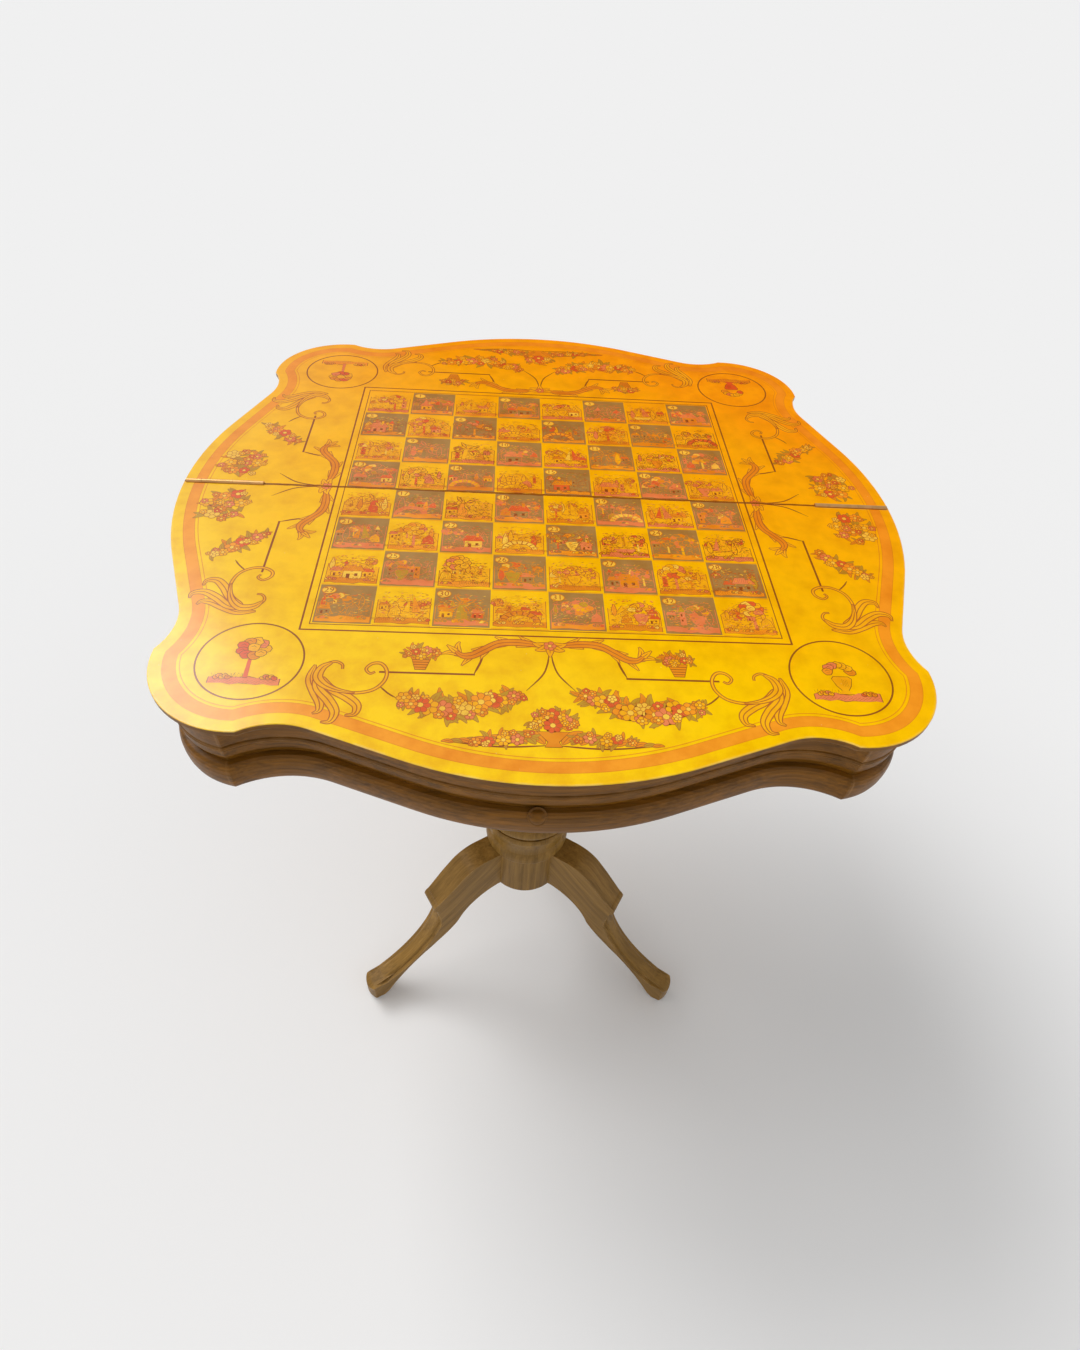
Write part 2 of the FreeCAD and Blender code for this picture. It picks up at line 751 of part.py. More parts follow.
plate_blank = block("pivot_plate_blank", (pivot_x - plate_half, pivot_x + plate_half),
                    (pivot_y - plate_half, pivot_y + plate_half), (leaf_underside, plate_top))
plate_holes = [screw_hole("pivot_plate_hole_%d" % number, cell("plate_screw_length"), place,
                          None)
               for number, place in enumerate(plate_screw_places())]
plate_holes.append(rod("pivot_plate_bore", cell("bolt_radius") + cell("screw_fit"),
                       cell("plate_thickness"), (pivot_x, pivot_y, leaf_underside)))
keep(cut("pivot_plate", plate_blank, plate_holes), "pivot_plate")
keep(group("pivot_plate_screws", [
    screw("pivot_plate_screw_%d" % number, cell("plate_screw_length"), place, None)
    for number, place in enumerate(plate_screw_places())]), "pivot_plate_screws")

washer_top = board_bottom - cell("slide_gap")
washer_bottom = washer_top - cell("washer_thickness")
nut_bottom = washer_bottom - cell("nut_height")
bolt_end = nut_bottom - cell("bolt_tail")
bolt_head = rod("pivot_bolt_head", cell("bolt_head_radius"), cell("bolt_head_height"),
                (pivot_x, pivot_y, plate_top))
bolt_shank = rod("pivot_bolt_shank", cell("bolt_radius"), plate_top - bolt_end,
                 (pivot_x, pivot_y, bolt_end))
keep(fuse("pivot_bolt", [bolt_head, bolt_shank]), "pivot_bolt")


def ring(name, outer, inner, low, high, place):
    """A washer or bush between two levels round a vertical axis."""
    base = rod(name + "_disc", outer, high - low, (place[0], place[1], low))
    hole = rod(name + "_hole", inner, high - low, (place[0], place[1], low))
    return cut(name, base, [hole])


def hex_nut(name, flats, bore, low, height, place):
    """A six-sided nut made from a prism and a plain bore."""
    blank = doc.addObject("Part::Prism", name + "_blank")
    blank.Polygon = 6
    bind(blank, "Circumradius", flats / math.sqrt(3))
    bind(blank, "Height", height)
    put(blank, (place[0], place[1], low))
    hole = rod(name + "_hole", bore, height, (place[0], place[1], low))
    return cut(name, blank, [hole])


pivot = (pivot_x, pivot_y)
bolt_bore = cell("bolt_radius") + cell("screw_fit")
keep(ring("pivot_washer", cell("washer_radius"), bolt_bore, washer_bottom, washer_top, pivot),
     "pivot_washer")
keep(hex_nut("pivot_nut", cell("nut_flats"), bolt_bore, nut_bottom, cell("nut_height"), pivot),
     "pivot_nut")
peg_x, peg_y = peg_place()
keep(rod("stop_peg", cell("peg_radius"), cell("peg_grip") + cell("peg_reach"),
         (peg_x, peg_y, leaf_underside - cell("peg_reach"))), "stop_peg")

# The apron box: five serpentine rails, a straight back rail and the mouldings on them

rail_sections = shared(cell("fascia_setback"), cell("fascia_relief"), rail_top,
                       rail_top - moulding_top, FASCIA_SHARES)
moulding_back = cell("fascia_setback") + cell("fascia_relief")
rail_sections.append((moulding_back, apron_bottom + cell("moulding_foot")))
moulding_sections = shared(zero, cell("moulding_relief"), moulding_top,
                           cell("moulding_height"), MOULDING_SHARES)
rail_shell = moulded(rail_sections, cell("apron_setback")).cut(
    prism(cell("rail_depth"), apron_bottom - cell("overrun"),
          rail_top + cell("overrun"), zero))
moulding_shell = moulded(moulding_sections, cell("apron_setback")).cut(
    prism(moulding_back, apron_bottom - cell("overrun"), moulding_top + cell("overrun"), zero))


# The front rail meets the corner blocks, and they the side rails, at the inner corners
inner_quarter = apron_outline.quarter(cell("rail_depth").value, half_gap.value)
side_line = Size(inner_quarter[3][0].y, repr(inner_quarter[3][0].y))
front_line = Size(inner_quarter[4][0].x, repr(inner_quarter[4][0].x))
reach = cell("top_half")

boss_level = top_level - cell("boss_drop")
boss_face = apron_reach_y - cell("boss_sink")
boss_place = (-cell("boss_shift"), -boss_face, boss_level)


def boss_hole():
    """Hole in the front moulding for the boss's stem, and the flat under the boss."""
    stem = rod("boss_hole", cell("boss_stem_radius") + cell("screw_fit"),
               cell("boss_stem_length"), boss_place, TURN_INTO_EDGE)
    seat = rod("boss_seat", cell("boss_radius") + cell("fit"), cell("overrun"), boss_place,
               TURN_OUT_OF_EDGE)
    return [stem, seat]


boxes = {
    "front": ((-front_line, front_line), (-reach, -side_line)),
    "corner_left": ((-reach, -front_line), (-reach, -side_line)),
    "corner_right": ((front_line, reach), (-reach, -side_line)),
    "side_left": ((-reach, -front_line), (-side_line, zero)),
    "side_right": ((front_line, reach), (-side_line, zero)),
}
stretch = (apron_bottom - cell("overrun"), rail_top + cell("overrun"))
for place, (across, deep) in boxes.items():
    rail = common(place + "_rail", code_shape(place + "_rail_shell", rail_shell),
                  block(place + "_rail_box", across, deep, stretch))
    strip = common(place + "_moulding_strip",
                   code_shape(place + "_moulding_shell", moulding_shell),
                   block(place + "_moulding_box", across, deep, stretch))
    if place == "front":
        keep(rail, "front_rail")
        keep(cut("front_moulding", strip, boss_hole()), "front_moulding")
    else:
        kind = "block" if "corner" in place else "rail"
        keep(rail, place.replace("side", "side_rail") if kind == "rail" else place + "_block")
        keep(strip, place + "_moulding")

inner_reach = apron_reach_x - cell("rail_depth")
back_half = inner_reach - cell("fit") * 4
keep(block("back_rail", (-back_half, back_half), (-rail_back, -cell("apron_setback")),
           (apron_bottom + cell("moulding_foot"), rail_top)), "back_rail")

inside = cell("rail_depth") + cell("fit")
inside_back = rail_back + cell("fit")
keep(code_shape("well_floor", prism(inside, floor_bottom, floor_top, inside_back)),
     "well_floor")

# Baize covers the floor of the open well, to the left of the divider
lining_top = floor_top + cell("lining_thickness")
lining_blank = code_shape("lining_blank", prism(inside, floor_top, lining_top, inside_back))
divider_left = cell("divider_place")
divider_right = divider_left + cell("divider_thickness")
keep(common("well_lining", lining_blank,
            block("lining_box", (-reach, divider_left - cell("fit")), (-reach, zero),
                  (floor_top, lining_top))), "well_lining")

# The divider stands on the floor and carries the swivel board's free edge
divider_blank = code_shape("divider_blank", prism(inside, floor_top, board_bottom, inside_back))
keep(common("well_divider", divider_blank,
            block("divider_box", (divider_left, divider_right), (-reach, zero),
                  (floor_top, board_bottom))), "well_divider")

# The swivel board, with the bush's hole and the stop peg's curved slot
board_blank = common(
    "swivel_board_blank",
    code_shape("board_outline", prism(inside, board_bottom, rail_top, inside_back)),
    block("board_box", (divider_left, reach), (-reach, zero), (board_bottom, rail_top)))
slot_half = cell("peg_radius") + cell("slot_clearance")
slot_low = board_bottom - cell("overrun")
slot_height = cell("board_thickness") + cell("overrun") * 2


def slot_sector(name, radius):
    """A quarter disc about the pivot, over the angle that the stop peg sweeps."""
    sector = doc.addObject("Part::Cylinder", name)
    bind(sector, "Radius", radius)
    bind(sector, "Height", slot_height)
    sector.Angle = QUARTER_TURN
    return put(sector, (pivot_x, pivot_y, slot_low), ((0, 0, 1), SLOT_START_ANGLE))


slot_band = cut("peg_slot_band", slot_sector("slot_outer", cell("peg_circle") + slot_half),
                [slot_sector("slot_inner", cell("peg_circle") - slot_half)])
slot_start = rod("slot_start", slot_half, slot_height, (peg_x, peg_y, slot_low))
slot_end = rod("slot_end", slot_half, slot_height,
               (pivot_x + (pivot_x - peg_x), peg_y, slot_low))
bush_radius = cell("bolt_radius") + cell("running_clearance") + cell("bush_wall")
bush_hole = rod("bush_hole", bush_radius + cell("screw_fit"), slot_height,
                (pivot_x, pivot_y, slot_low))
keep(cut("swivel_board", board_blank, [slot_band, slot_start, slot_end, bush_hole]),
     "swivel_board")

bush_body = rod("bush_body", bush_radius, cell("board_thickness"),
                (pivot_x, pivot_y, board_bottom))
bush_flange = rod("bush_flange", cell("bush_flange_radius"), cell("felt_thickness"),
                  (pivot_x, pivot_y, rail_top))
bush_bore = rod("bush_bore", cell("bolt_radius") + cell("running_clearance"), slot_height,
                (pivot_x, pivot_y, slot_low))
keep(cut("swivel_bush", fuse("bush_blank", [bush_body, bush_flange]), [bush_bore]),
     "swivel_bush")

# Felt on the rails' top edges, on which the leaves slide
felt_top = rail_top + cell("felt_thickness")
felt_outer = cell("fascia_setback") + cell("felt_margin")
felt_back = cell("apron_setback") + cell("felt_margin")
felt_ring = prism(felt_outer, rail_top, felt_top, felt_back).cut(
    prism(felt_outer + cell("felt_width"), rail_top, felt_top, felt_back + cell("felt_width")))
keep(code_shape("rail_felt", felt_ring), "rail_felt")


# Glue blocks under the floor, against the rails

def glue_block(name, across, deep):
    """A block under the floor, planed to the curve of the rail that it strengthens."""
    blank = block(name + "_blank", across, deep, block_levels)
    return common(name, code_shape(name + "_room", block_room), blank)


block_levels = (floor_bottom - cell("block_height"), floor_bottom)
block_room = prism(inside, block_levels[0], block_levels[1], rail_back)
block_half = cell("block_length") / 2
inner_front = apron_reach_y - cell("rail_depth")
blocks = []
for number, share in enumerate((-0.7, -0.25, 0.25, 0.7)):
    middle = inner_reach * share
    blocks.append(glue_block("back_block_%d" % number,
                             (middle - block_half, middle + block_half),
                             (-rail_back - cell("block_side"), -rail_back)))
for number, share in enumerate((-0.22, 0.22)):
    middle = inner_reach * share
    blocks.append(glue_block("front_block_%d" % number,
                             (middle - block_half, middle + block_half),
                             (-inner_front, -inner_front + cell("block_side") * 1.6)))
for number, side in enumerate((-1, 1)):
    middle = -inner_front * 0.22
    across = span(inner_reach * side, (inner_reach - cell("block_side") * 1.5) * side)
    blocks.append(glue_block("side_block_%d" % number, across,
                             (middle - block_half, middle + block_half)))
keep(group("glue_blocks", blocks), "glue_blocks")

# The boss on the front moulding

boss_rim = cell("boss_radius") * 0.8
boss_base = cell("boss_height") * 0.35
boss_dome = cell("boss_height") - boss_base
boss = turned("apron_boss", [
    (zero, -cell("boss_stem_length") + cell("fit")),
    (cell("boss_stem_radius"), -cell("boss_stem_length") + cell("fit")),
    (cell("boss_stem_radius"), zero),
    (cell("boss_radius"), zero),
    (cell("boss_radius"), boss_base * 0.6),
    (boss_rim, boss_base),
    (zero, cell("boss_height"), boss_rim * boss_rim / (boss_dome * 2) + boss_dome / 2, 1),
])
keep(put(boss, boss_place, TURN_OUT_OF_EDGE), "apron_boss")

# The pedestal: drum, collar, ring, column and the cleat under the box's floor

axis = (zero, pedestal_y, zero)
rod_bore = cell("rod_radius") + cell("rod_clearance")
collar_bottom = cell("drum_top")
collar_top = collar_bottom + cell("collar_height")
ring_top = collar_top + cell("ring_height")
cleat_bottom = floor_bottom - cell("cleat_thickness")
column_height = cleat_bottom - ring_top
nut_seat = cell("drum_bottom") + cell("rod_nut_height") + cell("rod_washer_thickness")
well_radius = cell("rod_washer_radius") + cell("rod_clearance")
drum_shoulder = cell("drum_bottom") + cell("drum_dome")

drum = turned("drum_blank", [
    (well_radius, cell("drum_bottom")),
    (cell("drum_radius") * 0.86, cell("drum_bottom")),
    (cell("drum_radius"), drum_shoulder),
    (cell("drum_radius"), cell("drum_top")),
    (rod_bore, cell("drum_top")),
    (rod_bore, nut_seat),
    (well_radius, nut_seat),
])
put(drum, axis)

seat = cell("drum_radius") - cell("leg_housing")
leg_half = cell("leg_thickness") / 2
dowel_levels = [(cell("drum_bottom") + cell("drum_top")) / 2 + cell("dowel_spacing") / 2 * i
                for i in (-1, 1)]


def spoke(thing, angle):
    """Turns an object modelled along +X of the pedestal's axis to a leg's direction."""
    return put(thing, axis, ((0, 0, 1), angle))


def leg_dowels(name, radius, length):
    """The pair of dowels, or their holes, that run from the drum into a leg along +X."""
    return [rod("%s_%d" % (name, index), radius, length, (seat - length / 2, zero, level),
                TURN_ALONG)
            for index, level in enumerate(dowel_levels)]


def housing(name):
    """The housing in the drum that a leg's inner end fills."""
    fit = cell("screw_fit")
    slot = block(name + "_slot", (seat, cell("drum_radius") + cell("overrun")),
                 (-leg_half - fit, leg_half + fit),
                 (cell("drum_bottom") - cell("overrun"), cell("drum_top") + cell("overrun")))
    holes = leg_dowels(name + "_dowel_hole", cell("dowel_radius") + cell("screw_fit"),
                       cell("dowel_length"))
    return fuse(name, [slot] + holes)


keep(cut("pedestal_drum", drum, [spoke(housing(name + "_housing"), angle)
                                 for name, angle in LEG_ANGLES.items()]), "pedestal_drum")

keep(put(turned("pedestal_collar", [
    (rod_bore, collar_bottom),
    (cell("collar_foot_radius") - cell("collar_foot_edge"), collar_bottom),
    (cell("collar_foot_radius"), collar_bottom + cell("collar_foot_edge"),
     cell("collar_foot_edge"), 1),
    (cell("collar_foot_radius"), collar_bottom + cell("collar_foot_edge") * 2),
    (cell("collar_waist_radius"), collar_bottom + cell("collar_height") * 0.34, 2.333, 1),
    (cell("collar_lip_radius"), collar_top - cell("collar_lip_height"), 2.184, -1),
    (cell("collar_lip_radius") * 0.97, collar_top, 0.975, 1),
    (rod_bore, collar_top),
]), axis), "pedestal_collar")

bead_bottom = collar_top + cell("ring_shoulder") * 0.25
bead_top = ring_top - cell("ring_shoulder") * 0.5
bead_rise = cell("ring_radius") - cell("collar_waist_radius")
bead_half = (bead_top - bead_bottom) / 2
keep(put(turned("pedestal_ring", [
    (rod_bore, collar_top),
    (cell("collar_waist_radius"), collar_top),
    (cell("collar_waist_radius"), bead_bottom),
    (cell("collar_waist_radius"), bead_top,
     bead_half * bead_half / (bead_rise * 2) + bead_rise / 2, 1),
    (cell("column_spread") * 0.9, bead_top),
    (cell("column_spread") * 0.9, ring_top),
    (rod_bore, ring_top),
]), axis), "pedestal_ring")


def column_corners():
    corners = [(rod_bore, ring_top)]
    for across, up, radius, turn in COLUMN_SHARES:
        corners.append((cell("column_radius") * across, ring_top + column_height * up,
                        radius, turn))
    corners.append((rod_bore, cleat_bottom))
    return corners


keep(put(turned("pedestal_column", column_corners()), axis), "pedestal_column")

cleat_screw_reach = cell("cleat_radius") * 0.78
cleat_screw_places = [(cleat_screw_reach * i, pedestal_y + cleat_screw_reach * j, cleat_bottom)
                      for i, j in ((0.7, 0.7), (-0.7, 0.7), (-0.7, -0.7), (0.7, -0.7))]
rod_top = floor_bottom - cell("fit")
top_nut_seat = rod_top - cell("rod_nut_height") - cell("rod_washer_thickness")
cleat = put(turned("cleat_blank", [
    (rod_bore, cleat_bottom),
    (cell("cleat_radius") - cell("cleat_edge"), cleat_bottom),
    (cell("cleat_radius"), cleat_bottom + cell("cleat_edge"), cell("cleat_edge"), 1),
    (cell("cleat_radius"), floor_bottom),
    (well_radius, floor_bottom),
    (well_radius, top_nut_seat),
    (rod_bore, top_nut_seat),
]), axis)
cleat_holes = [screw_hole("cleat_hole_%d" % number, cell("cleat_screw_length"), place, None)
               for number, place in enumerate(cleat_screw_places)]
keep(cut("column_cleat", cleat, cleat_holes), "column_cleat")
keep(group("cleat_screws", [
    screw("cleat_screw_%d" % number, cell("cleat_screw_length"), place, None)
    for number, place in enumerate(cleat_screw_places)]), "cleat_screws")

# The floor is drilled for the cleat's screws
floor_blank = nodes.pop([node.Label for node in nodes].index("well_floor"))
floor_blank.Label = "well_floor_blank"
floor_holes = [screw_hole("floor_hole_%d" % number, cell("cleat_screw_length"), place, None)
               for number, place in enumerate(cleat_screw_places)]
keep(cut("well_floor_board", floor_blank, floor_holes), "well_floor")

# A tie rod draws the turned pieces together between a nut in the drum and one in the cleat
pedestal_axis = (zero, pedestal_y)
keep(rod("tie_rod", cell("rod_radius"), rod_top - cell("drum_bottom"),
         (zero, pedestal_y, cell("drum_bottom"))), "tie_rod")
thread = cell("rod_radius") + cell("screw_fit")
keep(group("tie_rod_washers", [
    ring("lower_rod_washer", cell("rod_washer_radius"), thread,
         nut_seat - cell("rod_washer_thickness"), nut_seat, pedestal_axis),
    ring("upper_rod_washer", cell("rod_washer_radius"), thread, top_nut_seat,
         top_nut_seat + cell("rod_washer_thickness"), pedestal_axis)]), "tie_rod_washers")
keep(group("tie_rod_nuts", [
    hex_nut("lower_rod_nut", cell("rod_nut_flats"), thread, cell("drum_bottom"),
            cell("rod_nut_height"), pedestal_axis),
    hex_nut("upper_rod_nut", cell("rod_nut_flats"), thread,
            top_nut_seat + cell("rod_washer_thickness"), cell("rod_nut_height"),
            pedestal_axis)]), "tie_rod_nuts")


# The three legs

def leg_point(share):
    """A corner of the leg's side view from its shares."""
    along, up, radius, turn = share
    height = collar_bottom * up
    lift = cell("toe_lift") if up == 0 else zero
    return (cell("leg_reach") * along, height + lift, radius, turn)


def leg_corners(drop):
    """The leg's outline. Its outer edge between toe and knee lies in by drop."""
    toe = [leg_point(share) for share in TOE_SHARES]
    along, up, radius = OUTER_EDGE_SHARES
    toe[-1] = (toe[-1][0] - drop * 0.3, toe[-1][1] - drop, toe[-1][2], toe[-1][3])
    outer = (cell("leg_reach") * along - drop, collar_bottom * up - drop * 0.5, radius, -1)
    return ([(seat, drum_shoulder)] + [leg_point(share) for share in LEG_SHARES]
            + [leg_point((0.905, 0, 0, 0))] + toe + [outer]
            + [leg_point(share) for share in KNEE_SHARES] + [(seat, collar_bottom)])


def leg_plan():
    """The leg's outline from above: it narrows below the knee and its toe is rounded."""
    plan = [(seat, leg_half)]
    plan += [(cell("leg_reach") * along, leg_half * wide) for along, wide in LEG_PLAN_SHARES]
    toe = (plan[-1][0], plan[-1][1], TOE_ROUND_SHARE, 1)
    return [(along, -wide) for along, wide in plan] + [toe] + plan[-2::-1]


def rounded_rib(name):
    """The middle of the leg, whose outer edge is rounded on both sides."""
    corners = leg_corners(zero)
    outer_radius = arc_radius(corners[OUTER_CORNER - 1], corners[OUTER_CORNER])
    rib = sawn(name, corners, cell("rib_thickness"))
    board = rib.Tip
    doc.recompute()
    arcs = ["Edge%d" % number for number, edge in enumerate(board.Shape.Edges, 1)
            if hasattr(edge.Curve, "Radius")
            and abs(edge.Curve.Radius / outer_radius.value - 1) < 1e-6]
    rounding = rib.newObject("PartDesign::Fillet", name + "_rounding")
    rounding.Base = (board, arcs)
    bind(rounding, "Radius", cell("rib_round"))
    return rib


dowel_pairs = []
for name, angle in LEG_ANGLES.items():
    cheeks = sawn(name + "_cheeks", leg_corners(cell("ledge_drop")), cell("leg_thickness"))
    plan = sawn(name + "_plan", leg_plan(), (collar_bottom + cell("overrun")) * 2, "XY_Plane")
    blank = common(name + "_blank", fuse(name + "_boards", [cheeks, rounded_rib(name + "_rib")]),
                   plan)
    holes = leg_dowels(name + "_dowel_hole", cell("dowel_radius") + cell("screw_fit"),
                       cell("dowel_length"))
    keep(spoke(cut(name, blank, holes), angle), name)
    for index, dowel in enumerate(leg_dowels(name + "_dowel", cell("dowel_radius"),
                                             cell("dowel_length") - cell("fit") * 2)):
        dowel_pairs.append(spoke(group("%s_dowel_turned_%d" % (name, index), [dowel]), angle))
keep(group("leg_dowels", dowel_pairs), "leg_dowels")

glide_place = cell("leg_reach") * 0.922
glides = [spoke(group(name + "_glide_turned", [
    rod(name + "_glide", cell("glide_radius"), cell("toe_lift"), (glide_place, zero, zero))]),
    angle) for name, angle in LEG_ANGLES.items()]
keep(group("foot_glides", glides), "foot_glides")

# Every object is checked before anything is written
doc.recompute()
for thing in doc.Objects:
    if "Invalid" in thing.State or "Error" in thing.State:
        raise RuntimeError("%s failed: %s" % (thing.Name, thing.State))
os.makedirs("parts", exist_ok=True)
for node in nodes:
    shape = node.Shape
    if shape.isNull() or not shape.isValid() or not shape.Solids:
        raise RuntimeError(node.Label + " has no valid solid")
    shape.exportStep("parts/%s.step" % node.Label)
    print("%-24s %2d solid(s) %9.1f cm3" % (node.Label, len(shape.Solids), shape.Volume / 1000))
print(len(nodes), "nodes")
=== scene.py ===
"""Looks of the folding game table: finishes, the printed board and its ornament, the stage."""

import math
import random

import bmesh
import bpy
from bpy.props import FloatProperty, FloatVectorProperty, IntProperty, PointerProperty
from mathutils import Euler, Matrix, Vector


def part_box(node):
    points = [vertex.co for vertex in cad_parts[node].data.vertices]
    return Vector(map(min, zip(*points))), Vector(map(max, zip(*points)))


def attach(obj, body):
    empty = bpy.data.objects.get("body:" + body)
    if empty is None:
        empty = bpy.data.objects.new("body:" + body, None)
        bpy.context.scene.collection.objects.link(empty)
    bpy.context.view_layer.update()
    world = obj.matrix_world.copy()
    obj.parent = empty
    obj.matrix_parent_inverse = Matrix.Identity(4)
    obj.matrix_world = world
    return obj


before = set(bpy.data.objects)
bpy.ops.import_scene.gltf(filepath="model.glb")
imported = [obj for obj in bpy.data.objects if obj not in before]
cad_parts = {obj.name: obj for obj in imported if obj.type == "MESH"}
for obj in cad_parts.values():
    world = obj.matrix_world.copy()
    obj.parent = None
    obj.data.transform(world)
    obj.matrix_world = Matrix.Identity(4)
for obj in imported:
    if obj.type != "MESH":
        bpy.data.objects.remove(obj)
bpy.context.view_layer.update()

bl_info = {
    "name": "Folding Game Table",
    "version": (1, 0, 0),
    "blender": (4, 5, 0),
    "location": "View3D > Sidebar > Game Table",
    "description": "Dresses a folding game table with its finishes, printed board and stage",
    "category": "Object",
}

MILLIMETRE = 0.001
TOP_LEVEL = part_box("front_leaf_face")[1].z
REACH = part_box("rear_leaf_face")[1].y / MILLIMETRE
LEAVES = {"front": -1, "rear": 1}
# Half the gap at the seam, and where the hinges' grooves lie across and along it
HALF_SEAM = 0.5
GROOVE = 3.4
GROOVE_ENDS = (351.6, 447.4)
INKS = ("outline", "sepia", "slate", "ribbon", "gold", "ochre", "scarlet", "rose", "straw",
        "leaf")
# Lowest and highest level of each print above the lacquered ground, in millimetres
LEVELS = {"ribbon_border": (0.01, 0.03), "board": (0.01, 0.02), "pictures": (0.03, 0.16),
          "numbers": (0.165, 0.18), "scrollwork": (0.04, 0.09), "medallions": (0.04, 0.10),
          "garlands": (0.10, 0.15), "seam_edges": (0.181, 0.183)}


def srgb(red, green, blue):
    """Linear colour from the 0 to 255 values that a paint chart gives."""
    return tuple(((part / 255 + 0.055) / 1.055) ** 2.4 if part > 10 else part / 255 / 12.92
                 for part in (red, green, blue))


BARE_WOOD = srgb(222, 180, 124)
RUBBED_LACQUER = srgb(255, 226, 150)
PORE = (0.72, 0.68, 0.64)
AMBER = (0.86, 0.70, 0.45)
DUST = (0.9, 0.78, 0.5)
WHITE = (1, 1, 1)
# What is left of an ink's red, green and blue in the painted shade toward the rear right of
# the top
SHADED_SHARE = (0.95, 0.76, 0.5)


def length(name, about, default):
    return FloatProperty(name=name, description=about, default=default, min=0,
                         subtype="DISTANCE", unit="LENGTH")


def colour(name, about, *paint):
    return FloatVectorProperty(name=name, description=about, default=srgb(*paint),
                               min=0, max=1, subtype="COLOR")


def amount(name, about, default, low=0, high=10):
    return FloatProperty(name=name, description=about, default=default, min=low, max=high)


def turns(name, about, *angles):
    return FloatVectorProperty(name=name, description=about, subtype="EULER",
                               unit="ROTATION", default=[math.radians(a) for a in angles])


def spread(name, about, angle):
    return FloatProperty(name=name, description=about, default=math.radians(angle),
                         subtype="ANGLE", unit="ROTATION")


class TablePrintSettings(bpy.types.PropertyGroup):
    square: length("Square", "Side of one square of the board", 0.0625)
    frame_gap: length("Frame gap", "From the squares to the outer line of their frame", 0.0090)
    line: length("Line", "Width of the printed lines", 0.0018)
    ribbon_place: length("Ribbon place", "From the edge to the ribbon", 0.0140)
    ribbon_width: length("Ribbon width", "Width of the ribbon round the edge", 0.0120)
    medallion: length("Medallion", "Radius of the round frames in the corners", 0.0525)
    ground: colour("Ground", "Lacquered ground of the print", 255, 208, 0)
    # Painted shade: the ground's colour toward the rear right of the top
    ground_deep: colour("Deep ground", "Ground where the lacquer has darkened", 250, 152, 0)
    outline: colour("Outline", "Ink of the board's lines and the rods", 150, 80, 32)
    sepia: colour("Sepia", "Ink of the small pictures and the flowers", 184, 102, 44)
    slate: colour("Slate", "Dark squares", 172, 134, 76)
    ribbon: colour("Ribbon", "Ribbon round the edge", 248, 160, 38)
    gold: colour("Gold", "Fill of the scrolls", 250, 184, 22)
    ochre: colour("Ochre", "Deep orange accents", 234, 146, 30)
    scarlet: colour("Scarlet", "Red accents", 230, 100, 48)
    rose: colour("Rose", "Pink and peach accents", 236, 136, 84)
    straw: colour("Straw", "Pale accents and the number ovals", 252, 208, 78)
    leaf: colour("Leaf", "Leaves of the garlands", 196, 154, 44)
    seed: IntProperty(name="Seed", description="Choice and place of the small motifs",
                      default=7)


class TableWoodSettings(bpy.types.PropertyGroup):
    apron_light: colour("Apron, light", "Light grain of the box and the leaves", 142, 92, 22)
    apron_dark: colour("Apron, dark", "Dark grain of the box and the leaves", 80, 51, 10)
    pedestal_light: colour("Pedestal, light", "Light grain of the pedestal", 160, 121, 58)
    pedestal_dark: colour("Pedestal, dark", "Dark grain of the pedestal", 110, 80, 30)
    inner_light: colour("Inside, light", "Light grain of the bare wood", 206, 168, 116)
    inner_dark: colour("Inside, dark", "Dark grain of the bare wood", 158, 118, 72)
    wear: amount("Wear", "How far the stain is rubbed off the edges", 0.5, 0, 1)
    brass: colour("Brass", "Hinges", 196, 150, 96)
    steel: colour("Steel", "Bolt, nuts and washers", 176, 174, 168)
    baize: colour("Baize", "Lining of the well", 34, 92, 52)
    felt: colour("Felt", "Strip under the top", 74, 70, 52)
    glide: colour("Glide", "Feet", 48, 42, 36)


class TableStageSettings(bpy.types.PropertyGroup):
    camera_place: FloatVectorProperty(name="Camera place", description="Where the camera is",
                                      default=(-0.0574, -0.8556, 1.3353), subtype="XYZ",
                                      unit="LENGTH")
    camera_turn: turns("Camera turn", "How the camera is turned", 42.588, -3.152, -0.703)
    focal_length: amount("Focal length", "In millimetres on a 36 mm sensor", 20.979, 1, 500)
    shift: FloatVectorProperty(name="Shift", description="Shift of the picture", size=2,
                               default=(0.0059, 0.0058))
    floor: colour("Floor", "Floor and background", 240, 240, 240)
    sky: amount("Sky", "Strength of the light from all round", 0.56)
    key: amount("Key", "Strength of the main light", 0.82)
    key_turn: turns("Key turn", "How the main light is turned", 0, -40, -24)
    key_spread: spread("Key spread", "Softness of the main light", 44)
    side: amount("Side light", "Strength of the light from the rear left", 1.05)
    side_turn: turns("Side turn", "How the side light is turned", 0, -44, -46)
    side_spread: spread("Side spread", "Softness of the side light", 28)


# Shader building

def add(tree, kind, inputs=None, **settings):
    """Adds a shader node, sets its fields, and sets or links its inputs."""
    node = tree.nodes.new("ShaderNode" + kind)
    for field, value in settings.items():
        setattr(node, field, value)
    for name, value in (inputs or {}).items():
        join(tree, value, node.inputs[name])
    return node


def join(tree, value, socket):
    """Links a socket to another, or sets it to a value."""
    if isinstance(value, bpy.types.NodeSocket):
        tree.links.new(value, socket)
    else:
        socket.default_value = value


def paint(value):
    return (*value, 1.0)


def ramp(tree, factor, stops):
    """A colour ramp from (place, grey) stops."""
    node = add(tree, "ValToRGB", {"Fac": factor})
    bands = node.color_ramp.elements
    while len(bands) < len(stops):
        bands.new(0.5)
    for band, (place, grey) in zip(bands, stops):
        band.position = place
        band.color = (grey, grey, grey, 1)
    return node.outputs["Color"]


